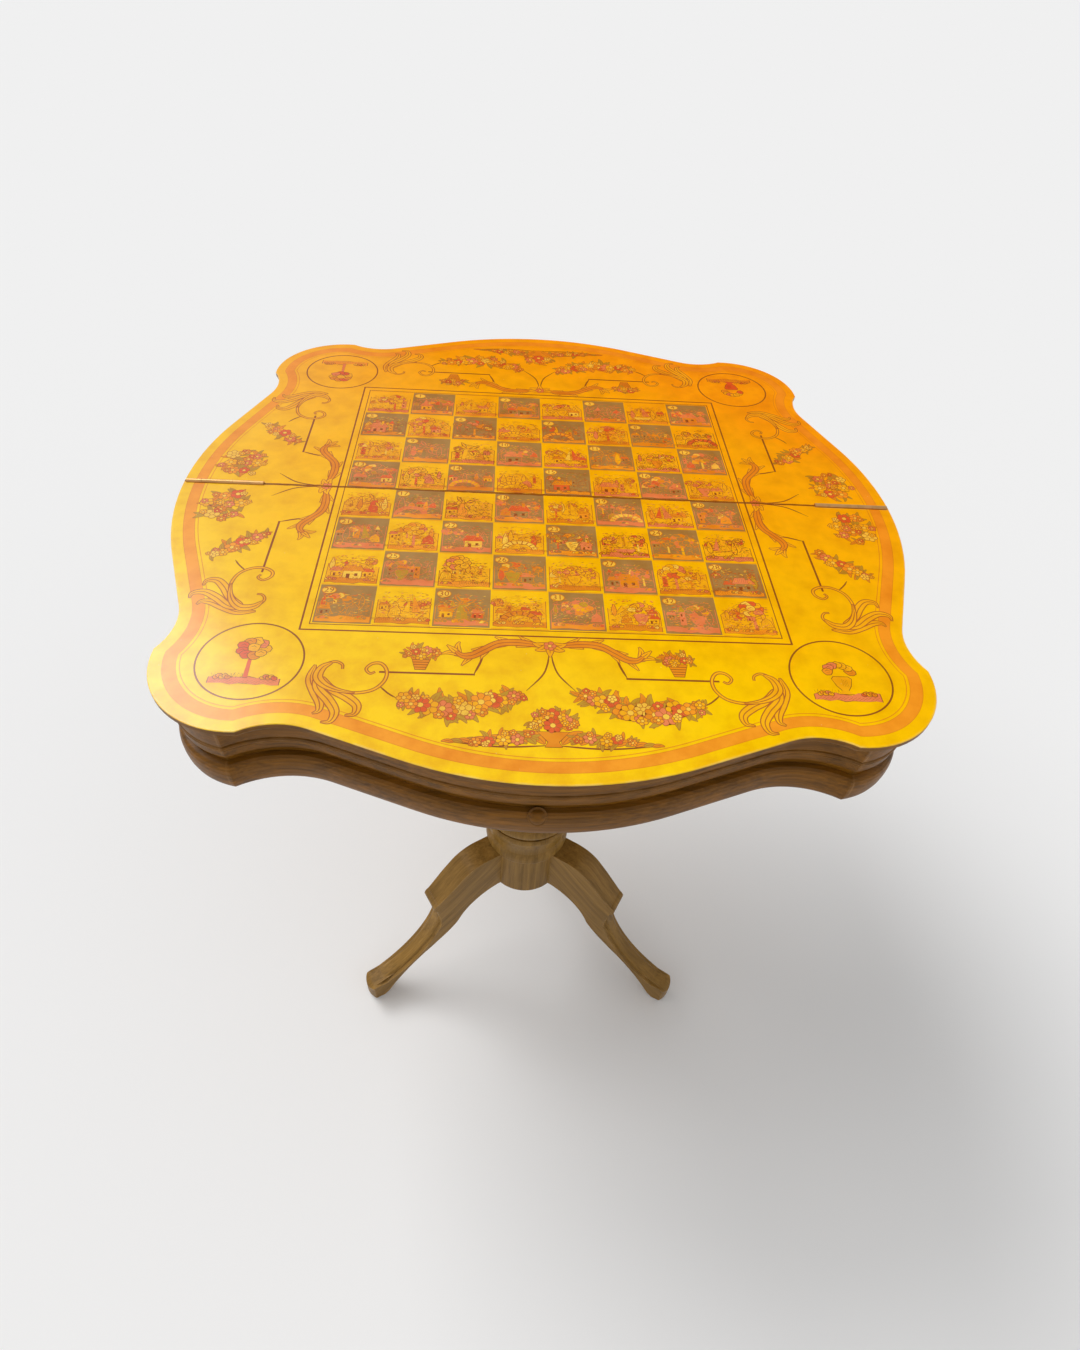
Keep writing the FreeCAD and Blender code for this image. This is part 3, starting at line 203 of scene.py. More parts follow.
def mixed(tree, factor, first, second, blend="MIX"):
    node = add(tree, "Mix", {"Factor": factor}, data_type="RGBA", blend_type=blend)
    join(tree, first, node.inputs[6])
    join(tree, second, node.inputs[7])
    return node.outputs[2]


def maths(tree, operation, *values):
    return add(tree, "Math", dict(enumerate(values)), operation=operation).outputs[0]


def weighed(tree, start, *parts):
    """A starting number plus each (socket, share) multiplied together."""
    for socket, share in parts:
        start = maths(tree, "MULTIPLY_ADD", socket, share, start)
    return start


def noise(tree, vector, scale, detail, roughness=0.5, distortion=0.0):
    return add(tree, "TexNoise", {"Vector": vector, "Scale": scale, "Detail": detail,
                                  "Roughness": roughness,
                                  "Distortion": distortion}).outputs["Fac"]


def cells(tree, vector, scale):
    """Distance to the nearest of many scattered points."""
    return add(tree, "TexVoronoi", {"Vector": vector, "Scale": scale}).outputs["Distance"]


def mapped(tree, vector, **changes):
    return add(tree, "Mapping", {"Vector": vector, **changes}).outputs["Vector"]


def build_grain(tree, given):
    """Wood grain: long fibres, slow growth bands and short pores along X of the vector."""
    place = given["Vector"]
    drawn = mapped(tree, place, Scale=(0.045, 1, 1))
    bands = noise(tree, drawn, 95, 4, 0.55, 0.25)
    fibres = noise(tree, drawn, 420, 6, 0.62)
    clouds = noise(tree, place, 6, 3)
    pores = cells(tree, mapped(tree, place, Scale=(60, 900, 900)), 1.0)
    figure = weighed(tree, 0.0, (bands, 0.55), (fibres, 0.45))
    light = ramp(tree, figure, ((0.34, 0), (0.5, 0.5), (0.66, 1)))
    stained = mixed(tree, light, given["Dark"], given["Light"])
    shade = ramp(tree, clouds, ((0.3, 0.88), (0.7, 1.05)))
    stained = mixed(tree, 1.0, stained, shade, "MULTIPLY")
    pits = ramp(tree, pores, ((0.06, 0), (0.2, 1)))
    pitted = mixed(tree, 1.0, stained, mixed(tree, pits, paint(PORE), paint(WHITE)),
                   "MULTIPLY")
    return {"Colour": pitted, "Roughness": weighed(tree, given["Roughness"], (clouds, 0.18)),
            "Height": weighed(tree, 0.0, (fibres, 0.4), (pits, 0.35))}


def build_edge_wear(tree, given):
    """Mask that is 1 on rubbed edges, broken up by noise."""
    rounded = add(tree, "Bevel", {"Radius": 0.003}, samples=4).outputs["Normal"]
    flat = add(tree, "NewGeometry").outputs["Normal"]
    facing = add(tree, "VectorMath", {0: rounded, 1: flat}, operation="DOT_PRODUCT")
    edges = ramp(tree, maths(tree, "SUBTRACT", 1.0, facing.outputs["Value"]),
                 ((0.02, 0), (0.12, 1)))
    broken = ramp(tree, noise(tree, given["Vector"], 45, 5), ((0.40, 0.15), (0.62, 1)))
    worn = maths(tree, "MULTIPLY", edges, broken)
    return {"Mask": maths(tree, "MULTIPLY", worn, given["Amount"])}


def build_ageing(tree, given):
    """Old clear lacquer with painted shade: darker toward the rear right as painted shade,
    mottled, dusty, glossy front left.
    """
    vector = given["Vector"]
    drift = noise(tree, vector, 2.4, 3)
    mottle = noise(tree, vector, 36, 6, 0.6)
    run = add(tree, "SeparateXYZ", {"Vector": vector}).outputs
    # Painted shade: the colour goes from the fresh one to the deep one toward the rear right,
    # broken up by slow and fine noise
    depth = weighed(tree, -0.25, (run["X"], 0.75), (run["Y"], 1.25), (drift, 0.8),
                    (mottle, 0.6))
    shaded_and_aged = mixed(tree, ramp(tree, depth, ((0.0, 0), (1.0, 1))), given["Fresh"], given["Deep"])
    amber = mixed(tree, ramp(tree, mottle, ((0.3, 0), (0.62, 1))), paint(AMBER), paint(WHITE))
    shaded_and_aged = mixed(tree, 1.0, shaded_and_aged, amber, "MULTIPLY")
    specks = ramp(tree, cells(tree, vector, 46), ((0.012, 1), (0.03, 0)))
    shaded_and_aged = mixed(tree, maths(tree, "MULTIPLY", specks, 0.35), shaded_and_aged, paint(DUST))
    lean = weighed(tree, 0.3, (run["X"], 1.0), (run["Y"], 0.35), (drift, 0.4))
    return {"Colour": shaded_and_aged, "Roughness": weighed(tree, 0.28, (mottle, 0.2)),
            "Height": mottle, "Shine": ramp(tree, lean, ((0.05, 1.0), (0.5, 0.05)))}


def build_cloth(tree, given):
    """Short pile of felt or baize."""
    pile = noise(tree, given["Vector"], 900, 4, 0.7)
    rubbed = noise(tree, given["Vector"], 14, 3)
    tone = ramp(tree, weighed(tree, 0.0, (pile, 0.6), (rubbed, 0.4)),
                ((0.35, 0.62), (0.65, 1.25)))
    return {"Colour": mixed(tree, 1.0, given["Base"], tone, "MULTIPLY"), "Height": pile}


def build_metal(tree, given):
    """Fine scratches along X and a slow tarnish."""
    scratches = noise(tree, mapped(tree, given["Vector"], Scale=(0.05, 1, 1)), 1500, 3)
    tarnish = noise(tree, given["Vector"], 70, 5)
    shade = ramp(tree, tarnish, ((0.35, 0.80), (0.6, 1.0)))
    return {"Colour": mixed(tree, 1.0, given["Base"], shade, "MULTIPLY"),
            "Roughness": weighed(tree, 0.18, (tarnish, 0.3)), "Height": scratches}


# Inputs, outputs and builder of each shared group
GROUPS = {
    "Wood grain": (("Vector", "Light", "Dark", "Roughness"),
                   ("Colour", "Roughness", "Height"), build_grain),
    "Edge wear": (("Vector", "Amount"), ("Mask",), build_edge_wear),
    "Aged lacquer": (("Vector", "Fresh", "Deep"), ("Colour", "Roughness", "Height", "Shine"),
                     build_ageing),
    "Cloth pile": (("Vector", "Base"), ("Colour", "Height"), build_cloth),
    "Worn metal": (("Vector", "Base"), ("Colour", "Roughness", "Height"), build_metal),
}
NUMBERS = ("Amount", "Height", "Mask", "Roughness", "Shine")


def shared_group(name):
    """The shader group of this name, built the first time."""
    if name in bpy.data.node_groups:
        return bpy.data.node_groups[name]
    tree = bpy.data.node_groups.new(name, "ShaderNodeTree")
    inputs, outputs, build = GROUPS[name]
    for direction, labels in (("INPUT", inputs), ("OUTPUT", outputs)):
        for label in labels:
            kind = "Float" if label in NUMBERS else "Vector" if label == "Vector" else "Color"
            tree.interface.new_socket(label, in_out=direction,
                                      socket_type="NodeSocket" + kind)
    source = tree.nodes.new("NodeGroupInput")
    target = tree.nodes.new("NodeGroupOutput")
    for label, socket in build(tree, source.outputs).items():
        tree.links.new(socket, target.inputs[label])
    return tree


def place_group(tree, name, inputs):
    return add(tree, "Group", inputs, node_tree=shared_group(name)).outputs


def blank_material(name):
    """A material with only its surface shader."""
    material = bpy.data.materials.new(name)
    material.use_nodes = True
    tree = material.node_tree
    tree.nodes.clear()
    shader = add(tree, "BsdfPrincipled")
    add(tree, "OutputMaterial", {"Surface": shader.outputs["BSDF"]})
    return material, tree, shader


def dress(shader, **values):
    for name, value in values.items():
        shader.inputs[name.replace("_", " ")].default_value = value


def surface(name, group, inputs, depth, strength, wear=0.0, rubbed=None, steps=(), **values):
    """A material fed by a shared group in the piece's own coordinates, turned step by step.

    Depth and strength are those of the bump. Wear shows the rubbed colour on the edges.
    """
    material, tree, shader = blank_material(name)
    place = add(tree, "TexCoord").outputs["Object"]
    for step in steps:
        place = mapped(tree, place, Rotation=[math.radians(angle) for angle in step])
    made = place_group(tree, group, {"Vector": place, **inputs})
    shown = made["Colour"]
    if wear:
        worn = place_group(tree, "Edge wear", {"Vector": place, "Amount": wear})
        shown = mixed(tree, worn["Mask"], shown, paint(rubbed))
    tree.links.new(shown, shader.inputs["Base Color"])
    for label, socket in (("Roughness", "Roughness"), ("Shine", "Coat Weight")):
        if label in made:
            tree.links.new(made[label], shader.inputs[socket])
    bump = add(tree, "Bump", {"Height": made["Height"], "Distance": depth,
                              "Strength": strength})
    tree.links.new(bump.outputs["Normal"], shader.inputs["Normal"])
    dress(shader, **values)
    return material


def wood(name, light, dark, spin=0, tilt=0, wear=0.4, roughness=0.42, coat=0.12):
    """Stained wood whose grain runs along X once spun about Z and then tilted about Y."""
    rubbed = [0.6 * stained + 0.4 * bare for stained, bare in zip(light, BARE_WOOD)]
    return surface(name, "Wood grain", {"Light": paint(light), "Dark": paint(dark),
                                        "Roughness": roughness - 0.08}, 0.0003, 0.25, wear,
                   rubbed, ((0, 0, spin), (0, tilt, 0)), Coat_Weight=coat,
                   Coat_Roughness=0.25, Specular_IOR_Level=0.12)


def lacquered(name, fresh, deep, wear=0.0):
    """Ink or ground of the print under clear lacquer, which pales on rubbed edges and takes
    the deep colour as painted shade toward the rear right.
    """
    return surface(name, "Aged lacquer", {"Fresh": paint(fresh), "Deep": paint(deep)},
                   0.0002, 0.12, wear, RUBBED_LACQUER, Coat_Roughness=0.18,
                   Specular_IOR_Level=0.0)


def cloth(name, base):
    return surface(name, "Cloth pile", {"Base": paint(base)}, 0.0008, 0.6, Roughness=0.95,
                   Sheen_Weight=0.5, Sheen_Roughness=0.5)


def metal(name, base):
    return surface(name, "Worn metal", {"Base": paint(base)}, 0.0001, 0.2, Metallic=1.0)


def moulded_plastic(name, base):
    return surface(name, "Cloth pile", {"Base": paint(base)}, 0.0002, 0.2, Roughness=0.5)


def finish(material, *nodes):
    for node in nodes:
        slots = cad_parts[node].data.materials
        slots.clear()
        slots.append(material)


# Lines and points of the print, in millimetres

def around(angle, wide, tall=None, x=0.0, y=0.0):
    """The point at an angle on a circle or, with a height of its own, on an oval."""
    return Vector((x + wide * math.cos(angle), y + (tall or wide) * math.sin(angle)))


def bearing(way):
    return math.atan2(way.y, way.x)


class Edge:
    """The top's outline, drawn in by any inset with its curves' centres kept."""

    BULGE, NECK, LOBE = 405.0, 75.0, 98.0
    BULGE_PLACE = Vector((0.0, 45.0))
    NECK_PLACE = Vector((255.07, 462.0))
    LOBE_PLACE = Vector((300.0, 300.0))
    STEP = 4.0

    @classmethod
    def sweep(cls, centre, radius, first, last):
        count = max(2, math.ceil(abs(last - first) * radius / cls.STEP))
        return [centre + around(first + (last - first) * i / count, radius)
                for i in range(count + 1)]

    @classmethod
    def loop(cls, inset):
        """Closed list of points, to the left round from the middle of the rear."""
        neck, lobe = cls.NECK + inset, cls.LOBE - inset
        run = cls.NECK_PLACE - cls.BULGE_PLACE
        swing = bearing(run) + math.acos((cls.BULGE + cls.NECK) / run.length)
        gap = cls.LOBE_PLACE - cls.NECK_PLACE
        along = (neck ** 2 - lobe ** 2 + gap.length_squared) / (2 * gap.length)
        unit = gap.normalized()
        cusp = (cls.NECK_PLACE + unit * along
                + Vector((-unit.y, unit.x)) * math.sqrt(neck ** 2 - along ** 2))
        eighth = (cls.sweep(cls.BULGE_PLACE, cls.BULGE - inset, math.pi / 2, swing)
                  + cls.sweep(cls.NECK_PLACE, neck, swing - math.pi,
                              bearing(cusp - cls.NECK_PLACE))
                  + cls.sweep(cls.LOBE_PLACE, lobe, bearing(cusp - cls.LOBE_PLACE),
                              math.pi / 4))
        quarter = eighth + [point.yx for point in reversed(eighth[:-1])]
        points = []
        for turn in range(4):
            spin = Matrix.Rotation(-turn * math.pi / 2, 2)
            points += [spin @ point for point in quarter[:-1]]
        return points


def smooth(points, steps=6):
    """Points along a smooth curve through the given ones."""
    points = [Vector(point) for point in points]
    ends = [points[0] * 2 - points[1]] + points + [points[-1] * 2 - points[-2]]
    curve = []
    for a, b, c, d in zip(ends, ends[1:], ends[2:], ends[3:]):
        for step in range(steps):
            t = step / steps
            curve.append(0.5 * (2 * b + (c - a) * t + (2 * a - 5 * b + 4 * c - d) * t * t
                                + (3 * b - a - 3 * c + d) * t ** 3))
    return curve + [points[-1]]


def resample(points, count):
    """The same closed loop with a given number of points, matched piece by piece."""
    if len(points) == count:
        return points
    picked = []
    for i in range(count):
        spot = i * len(points) / count
        low = int(spot)
        picked.append(points[low].lerp(points[(low + 1) % len(points)], spot - low))
    return picked


def ring_points(radius, count, squash=1.0, x=0.0, y=0.0):
    return [around(math.tau * i / count, radius, radius * squash, x, y)
            for i in range(count)]


def box_points(left, low, right, high):
    return [(left, low), (right, low), (right, high), (left, high)]


def moved(points, x, y, size=1.0):
    return [(x + size * u, y + size * v) for u, v in points]


def slab_points(foot, top, low, high):
    """An upright slab from half its width at the foot to half its width at the top."""
    return [(-foot, low), (foot, low), (top, high), (-top, high)]


def curl(base, heading, size, bend, steps=7):
    """A path that turns more and more on its way, as the tip of a leaf does."""
    points = [Vector(base)]
    for step in range(steps):
        angle = heading + bend * ((step + 0.5) / steps) ** 1.5
        points.append(points[-1] + around(angle, size / steps))
    return points


def even(share):
    return 1.0


def tapered(share):
    return min(1.0, 0.3 + 3 * share, 0.3 + 3 * (1 - share))


def leafy(share):
    return math.sin(math.pi * share ** 0.75) + 0.05


def band(first, second):
    """Four-sided pieces between two lines of as many points."""
    return list(zip(first, first[1:], second[1:], second))


def closed_band(outer, inner):
    return band(outer + outer[:1], inner + inner[:1])


def strip_quads(spine, width, profile, extra=0.0):
    """Four-sided pieces of a line whose width follows a profile along it."""
    spine = [Vector(point) for point in spine]
    last = len(spine) - 1
    left, right = [], []
    for index, point in enumerate(spine):
        run = (spine[min(index + 1, last)] - spine[max(index - 1, 0)]).normalized()
        across = Vector((-run.y, run.x)) * (width * profile(index / last) + extra) / 2
        left.append(point + across)
        right.append(point - across)
    return band(left, right)


def digit_shapes(text, size):
    """Flat outlines of a number, centred."""
    curve = bpy.data.curves.new("number", "FONT")
    curve.body, curve.size = text, size * 1.3
    curve.align_x, curve.align_y = "CENTER", "CENTER"
    curve.resolution_u = 2
    letter = bpy.data.objects.new("number", curve)
    mesh = bpy.data.meshes.new_from_object(letter)
    shapes = [[mesh.vertices[i].co.xy for i in face.vertices] for face in mesh.polygons]
    bpy.data.meshes.remove(mesh)
    bpy.data.objects.remove(letter)
    bpy.data.curves.remove(curve)
    return shapes


def squares():
    """Low corner of each square and whether it is dark, from the rear left."""
    side = bpy.context.scene.table_print.square / MILLIMETRE
    for row in range(8):
        for column in range(8):
            yield (column - 4) * side, (3 - row) * side, (row + column) % 2 == 1


class Print:
    """Flat shapes in several inks, in millimetres, cut at the seam into the two leaves.

    The shapes of a run lie in the order they are drawn, each a hair above the one before,
    between the lowest and the highest level of the print.
    """

    def __init__(self, name):
        self.name = name
        self.runs = [[]]
        self.aim()

    def start_run(self):
        self.runs.append([])

    def aim(self, turn=0, mirror=1, centre=(0, 0), scale=1.0):
        """Where later shapes go: scaled, moved, mirrored, then turned by quarter turns."""
        self.turn, self.mirror, self.centre, self.scale = turn, mirror, Vector(centre), scale

    def aimed(self, point):
        spot = Vector(point) * self.scale + self.centre
        spot.x *= self.mirror
        return Matrix.Rotation(self.turn * math.pi / 2, 2) @ spot

    def shape(self, ink, *outlines):
        self.runs[-1].append((INKS.index(ink), [[self.aimed(point) for point in outline]
                                                for outline in outlines]))

    def line(self, ink, path, width, profile=tapered):
        spine = smooth(path) if len(path) > 2 else path
        self.shape(ink, *strip_quads(spine, width, profile))

    def stroke(self, ink, spine, width, profile=leafy, line=1.15):
        """A filled stroke with a line on both sides."""
        self.shape("sepia", *strip_quads(spine, width, profile, line * 2))
        self.shape(ink, *strip_quads(spine, width, profile))

    def inked(self, ink, points, line=0.8, edge="outline"):
        """A filled shape with a line round it."""
        points = [Vector(point) for point in points]
        middle = sum(points, Vector((0, 0))) / len(points)
        self.shape(edge, [point + (point - middle).normalized() * line for point in points])
        self.shape(ink, points)

    def frond(self, ink, base, heading, size, bend, width=0.34, line=0.9):
        """A leaf that curls, with its midrib."""
        path = curl(base, heading, size, bend)
        self.stroke(ink, path, size * width, leafy, line)
        self.shape("sepia", *strip_quads(path[:-2], line, tapered))

    def flower(self, ink, centre, radius, petals, turn=0.0):
        """An open flower: petals, their folds and a rolled heart."""
        centre = Vector(centre)
        points = []
        for i in range(petals * 6):
            angle = math.tau * i / (petals * 6)
            reach = radius * (0.74 + 0.26 * abs(math.cos(petals * angle / 2)))
            points.append(centre + around(angle + turn, reach))
        self.inked(ink, points, 0.8, "sepia")
        folds = []
        for petal in range(petals):
            way = around(math.tau * (petal + 0.5) / petals + turn, radius)
            folds += strip_quads([centre + way * 0.35, centre + way * 0.85], 0.7, even)
        self.shape("sepia", *folds)
        self.inked("straw", ring_points(radius * 0.3, 8, 1.0, *centre), 0.6, "sepia")

    def acanthus(self, ink, path, size):
        """A broad stem over short leaves that lie along it, and leaves curling at its tip."""
        spine = smooth(path, 4)
        for share in (0.1, 0.3, 0.5, 0.68):
            index = round(share * (len(spine) - 1))
            heading = bearing(spine[index + 1] - spine[index])
            for side in (1, -1):
                self.frond(ink, spine[index], heading + side * 0.3, size * 0.8, side * 0.25,
                           0.2)
        heading = bearing(spine[-1] - spine[-2])
        for side in (-1, 1, 0):
            self.frond(ink, spine[-4], heading + side * 0.3, size * 0.75, side * 1.1, 0.27)
        self.stroke("ochre", smooth(path), size * 0.3, tapered)
        self.line("sepia", path, 1.0)

    def make(self):
        """Builds the shapes as one mesh on each leaf."""
        made = []
        for leaf, side in LEAVES.items():
            build = bmesh.new()
            for run in self.runs:
                self.lay(build, run, side)
            bmesh.ops.triangulate(build, faces=build.faces)
            cut_to_leaf(build, side)
            if build.faces:
                made.append(self.finish(build, leaf))
            build.free()
        if not made:
            raise RuntimeError(self.name + " has no shapes")

    def lay(self, build, run, side):
        """Adds a run's shapes on one side of the seam, each on its own level."""
        low, high = LEVELS[self.name]
        step = (high - low) / (len(run) + 1)
        for rank, (ink, outlines) in enumerate(run, 1):
            for outline in outlines:
                if all(point.y * side <= HALF_SEAM for point in outline):
                    continue
                corners = [build.verts.new((*point, low + step * rank)) for point in outline]
                build.faces.new(corners).material_index = ink

    def finish(self, build, leaf):
        """Turns a leaf's shapes into its piece."""
        for face in build.faces:
            face.normal_update()
            if face.normal.z < 0:
                face.normal_flip()
        build.transform(Matrix.Translation((0, 0, TOP_LEVEL)) @ Matrix.Scale(MILLIMETRE, 4))
        name = self.name + "_" + leaf
        mesh = bpy.data.meshes.new(name)
        build.to_mesh(mesh)
        for ink in INKS:
            mesh.materials.append(ink_material(ink, bpy.context.scene.table_print))
        piece = bpy.data.objects.new(name, mesh)
        bpy.context.scene.collection.objects.link(piece)
        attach(piece, leaf + "_leaf")
        return piece


def cut_to_leaf(build, side):
    """Cuts a print at the seam and round the grooves of the hinges."""
    def slice_at(place, normal, clear=False):
        bmesh.ops.bisect_plane(build, geom=build.verts[:] + build.edges[:] + build.faces[:],
                               plane_co=place, plane_no=normal, clear_inner=clear)
    slice_at((0, HALF_SEAM * side, 0), (0, side, 0), True)
    inner, outer = GROOVE_ENDS
    if not any(abs(vert.co.y) < GROOVE and abs(vert.co.x) > inner - 20
               for vert in build.verts):
        return
    slice_at((0, GROOVE * side, 0), (0, 1, 0))
    for place in (-outer, -inner, inner, outer):
        slice_at((place, 0, 0), (1, 0, 0))
    gone = [face for face in build.faces
            if abs(face.calc_center_median().y) < GROOVE
            and inner < abs(face.calc_center_median().x) < outer]
    bmesh.ops.delete(build, geom=gone, context="FACES")


def ink_material(ink, settings):
    name = "print_" + ink
    if name in bpy.data.materials:
        return bpy.data.materials[name]
    fresh = getattr(settings, ink)
    # The deep colour is the ink in painted shade, for the rear right of the top
    return lacquered(name, fresh, [part * share for part, share in zip(fresh, SHADED_SHARE)])


class Picture:
    """A small landscape. Its motifs stand at the origin of a unit that `place` sets."""

    PEN = 0.8
    FOLDS = (((-0.5, 0), (0, 0.35), (0.5, 0)), ((-0.3, -0.4), (0.4, -0.35)))

    def __init__(self, sheet, dice, paper, pen, inks, corner, side):
        self.sheet, self.dice = sheet, dice
        self.paper, self.drawing, self.inks = paper, pen, inks
        self.corner, self.side = Vector(corner), side

    def place(self, x, y, scale, turn=0):
        """Stands the next motif at a place in the picture, in shares of its side."""
        self.sheet.aim(turn, 1, self.corner + Vector((x, y)) * self.side, self.side * scale)
        self.pen = self.PEN / (self.side * scale)

    def stand(self, motifs, x, y, scale):
        """Draws one motif of several at a place."""
        self.place(x, y, scale)
        self.dice.choice(motifs)()

    def ink(self):
        """An accent or, nearly as often, the paper's own colour."""
        return self.dice.choice(self.inks) if self.dice.random() < 0.6 else self.paper

    def fill(self, points, ink=None):
        self.sheet.inked(ink or self.ink(), points, self.pen, self.drawing)

    def lines(self, *paths):
        quads = []
        for path in paths:
            quads += strip_quads(path, self.pen, tapered)
        self.sheet.shape(self.drawing, *quads)

    def openings(self, *boxes):
        self.sheet.shape("outline", *[box_points(*box) for box in boxes])

    def hatch(self, x, y, wide, tall, count, lean=0.3):
        """Short slanting lines, as an engraver shades."""
        paths = []
        for i in range(count):
            left = x + wide * i / count
            low = y + tall * 0.2 * self.dice.random()
            paths.append([(left, low), (left + lean * tall, low + tall * 0.8)])
        self.lines(*paths)

    def blob(self, x, y, radius):
        turn = self.dice.random() * 6
        points = []
        for i in range(9):
            reach = radius * self.dice.uniform(0.8, 1.15)
            points.append(around(turn + math.tau * i / 9, reach, reach * 0.85, x, y))
        self.fill(points)
        self.lines(*[moved(fold, x, y, radius) for fold in self.FOLDS])

    def tree(self):
        self.fill([(-0.03, 0), (0.04, 0), (0.02, 0.5), (-0.03, 0.5)])
        for i in range(9):
            self.blob(*around(0.7 * i, 0.17, 0.16, 0, 0.62), 0.1)
        self.blob(0, 0.64, 0.1)

    def cypress(self):
        spine = [(0, y) for y in (0.02, 0.2, 0.4, 0.6, 0.8)]
        self.sheet.shape(self.drawing, *strip_quads(spine, 0.2, leafy, self.pen * 2))
        self.sheet.shape(self.ink(), *strip_quads(spine, 0.2, leafy))
        self.lines(*[[(-0.05, y), (0.05, y + 0.06)] for y in (0.15, 0.25, 0.35, 0.45, 0.55)])

    def cottage(self):
        self.fill(slab_points(0.2, 0.2, 0, 0.26))
        self.fill([(-0.26, 0.26), (0.26, 0.26), (0.15, 0.46), (-0.17, 0.46)],
                  self.dice.choice(("scarlet", "rose", "ochre")))
        self.fill(box_points(0.06, 0.42, 0.12, 0.56))
        self.hatch(-0.2, 0.28, 0.38, 0.16, 8)
        self.openings((-0.13, 0.0, -0.05, 0.16), (0.05, 0.09, 0.12, 0.18))

    def tower(self):
        self.fill(slab_points(0.09, 0.075, 0, 0.55))
        self.fill([(-0.12, 0.55), (0.12, 0.55), (0, 0.82)])
        self.hatch(-0.01, 0.05, 0.08, 0.42, 4, 0.0)
        self.openings((-0.05, 0.36, 0.0, 0.46), (-0.05, 0.14, 0.0, 0.22))

    def boat(self):
        self.fill([(-0.24, 0.15), (0.26, 0.15), (0.17, 0.03), (-0.16, 0.03)])
        self.lines([(0, 0.15), (0, 0.8)])
        self.fill([(0.03, 0.2), (0.23, 0.23), (0.03, 0.74)])
        self.fill([(-0.03, 0.2), (-0.17, 0.23), (-0.03, 0.66)])
        self.hatch(0.04, 0.24, 0.14, 0.2, 4, 0.0)
        self.hatch(-0.35, -0.04, 0.7, 0.05, 9, 1.6)

    def bush(self):
        for i in range(5):
            self.blob((i - 2) * 0.1, 0.09 + 0.07 * (i % 2), 0.1)

    def rocks(self):
        for x, size in ((-0.16, 0.13), (0.02, 0.18), (0.2, 0.11)):
            self.fill(moved(((-1, 0), (1, 0), (0.6, 0.8), (-0.1, 1.1), (-0.7, 0.6)), x, 0,
                            size))
            self.hatch(x, 0.01, size * 0.6, size * 0.8, 4)

    def urn(self):
        profile = [(0.12, 0), (0.05, 0.08), (0.11, 0.17), (0.16, 0.32), (0.12, 0.37)]
        self.fill(profile + [(-wide, high) for wide, high in reversed(profile)])
        self.hatch(0.0, 0.15, 0.1, 0.18, 4, 0.0)
        for i in range(7):
            self.blob(*around(0.2 + i * 0.45, 0.19, 0.2, 0, 0.44), 0.085)

    def windmill(self):
        self.fill(slab_points(0.13, 0.075, 0, 0.5))
        self.hatch(0.0, 0.03, 0.1, 0.4, 4, 0.0)
        for i in range(4):
            sail = [around(0.5 + i * math.pi / 2, reach, y=0.5) for reach in (0.06, 0.2, 0.34)]
            self.sheet.shape(self.drawing, *strip_quads(sail, 0.1, leafy, self.pen))
            self.sheet.shape(self.paper, *strip_quads(sail, 0.06, leafy))

    def bridge(self):
        arc = [math.pi * i / 9 for i in range(10)]
        stones = band([around(angle, 0.42, 0.34) for angle in arc],
                      [around(angle, 0.27, 0.2) for angle in arc])
        self.sheet.shape(self.drawing, *stones)
        ink = self.ink()
        for stone in stones:
            middle = sum(stone, Vector((0, 0))) / 4
            self.sheet.shape(ink, [middle + (point - middle) * 0.78 for point in stone])
        self.hatch(-0.26, -0.02, 0.5, 0.06, 9, 1.5)

    def haystack(self):
        self.fill([(-0.2, 0), (0.2, 0), (0.16, 0.28), (0.02, 0.46), (-0.15, 0.28)])
        self.lines(*[[(0.02 * i, 0.4), (0.07 * i, 0.04)] for i in range(-2, 3)])

    def fence(self):
        self.lines([(-0.5, 0.16), (0.5, 0.17)], [(-0.5, 0.08), (0.5, 0.09)],
                   *[[(x / 10, 0), (x / 10 + 0.01, 0.22)] for x in range(-5, 6)])

    def hills(self):
        """A ridge behind everything, with its slopes shaded."""
        tops = [(i / 7, self.dice.uniform(0.3, 0.6)) for i in range(8)]
        self.fill([(0, 0)] + tops + [(1, 0)], self.paper)
        for x, y in tops[:7]:
            self.lines(*[[(x + 0.03 * k, y - 0.04 - 0.06 * k),
                          (x + 0.07 + 0.03 * k, y - 0.12 - 0.06 * k)] for k in range(4)])

    def shade(self, low, high, ink, count):
        """Short engraver's strokes strewn between two heights."""
        dice = self.dice
        quads = []
        for _ in range(count):
            start = Vector((dice.uniform(0.02, 0.92), dice.uniform(low, high)))
            end = start + Vector((dice.uniform(0.03, 0.075), dice.uniform(-0.012, 0.035)))
            quads += strip_quads([start, (start + end) / 2, end], self.pen * 1.1, tapered)
        self.sheet.shape(ink, *quads)

    def sky(self):
        """Three streaks of cloud and a bird."""
        dice = self.dice
        for _ in range(3):
            x, y = dice.uniform(0.2, 0.75), dice.uniform(0.66, 0.84)
            self.lines([(x, y), (x + 0.12, y + 0.02)],
                       [(x + 0.03, y - 0.03), (x + 0.2, y - 0.02)])
        x, y = dice.uniform(0.3, 0.7), dice.uniform(0.6, 0.76)
        self.lines([(x - 0.05, y + 0.03), (x, y), (x + 0.05, y + 0.035)])

    def ground(self):
        """A strip of rough ground with tufts."""
        dice = self.dice
        tops = [(i / 9, dice.uniform(0.03, 0.1)) for i in range(10)]
        foot = [(1 - i / 9, dice.uniform(-0.09, -0.05)) for i in range(10)]
        self.fill(tops + foot, dice.choice(self.inks[:3]))
        self.hatch(0.02, -0.06, 0.93, 0.07, 16, 1.2)
        for i in range(9):
            x = 0.04 + dice.random() * 0.9
            self.lines([(x, 0.05), (x - 0.03, 0.14)], [(x, 0.05), (x + 0.03, 0.15)])

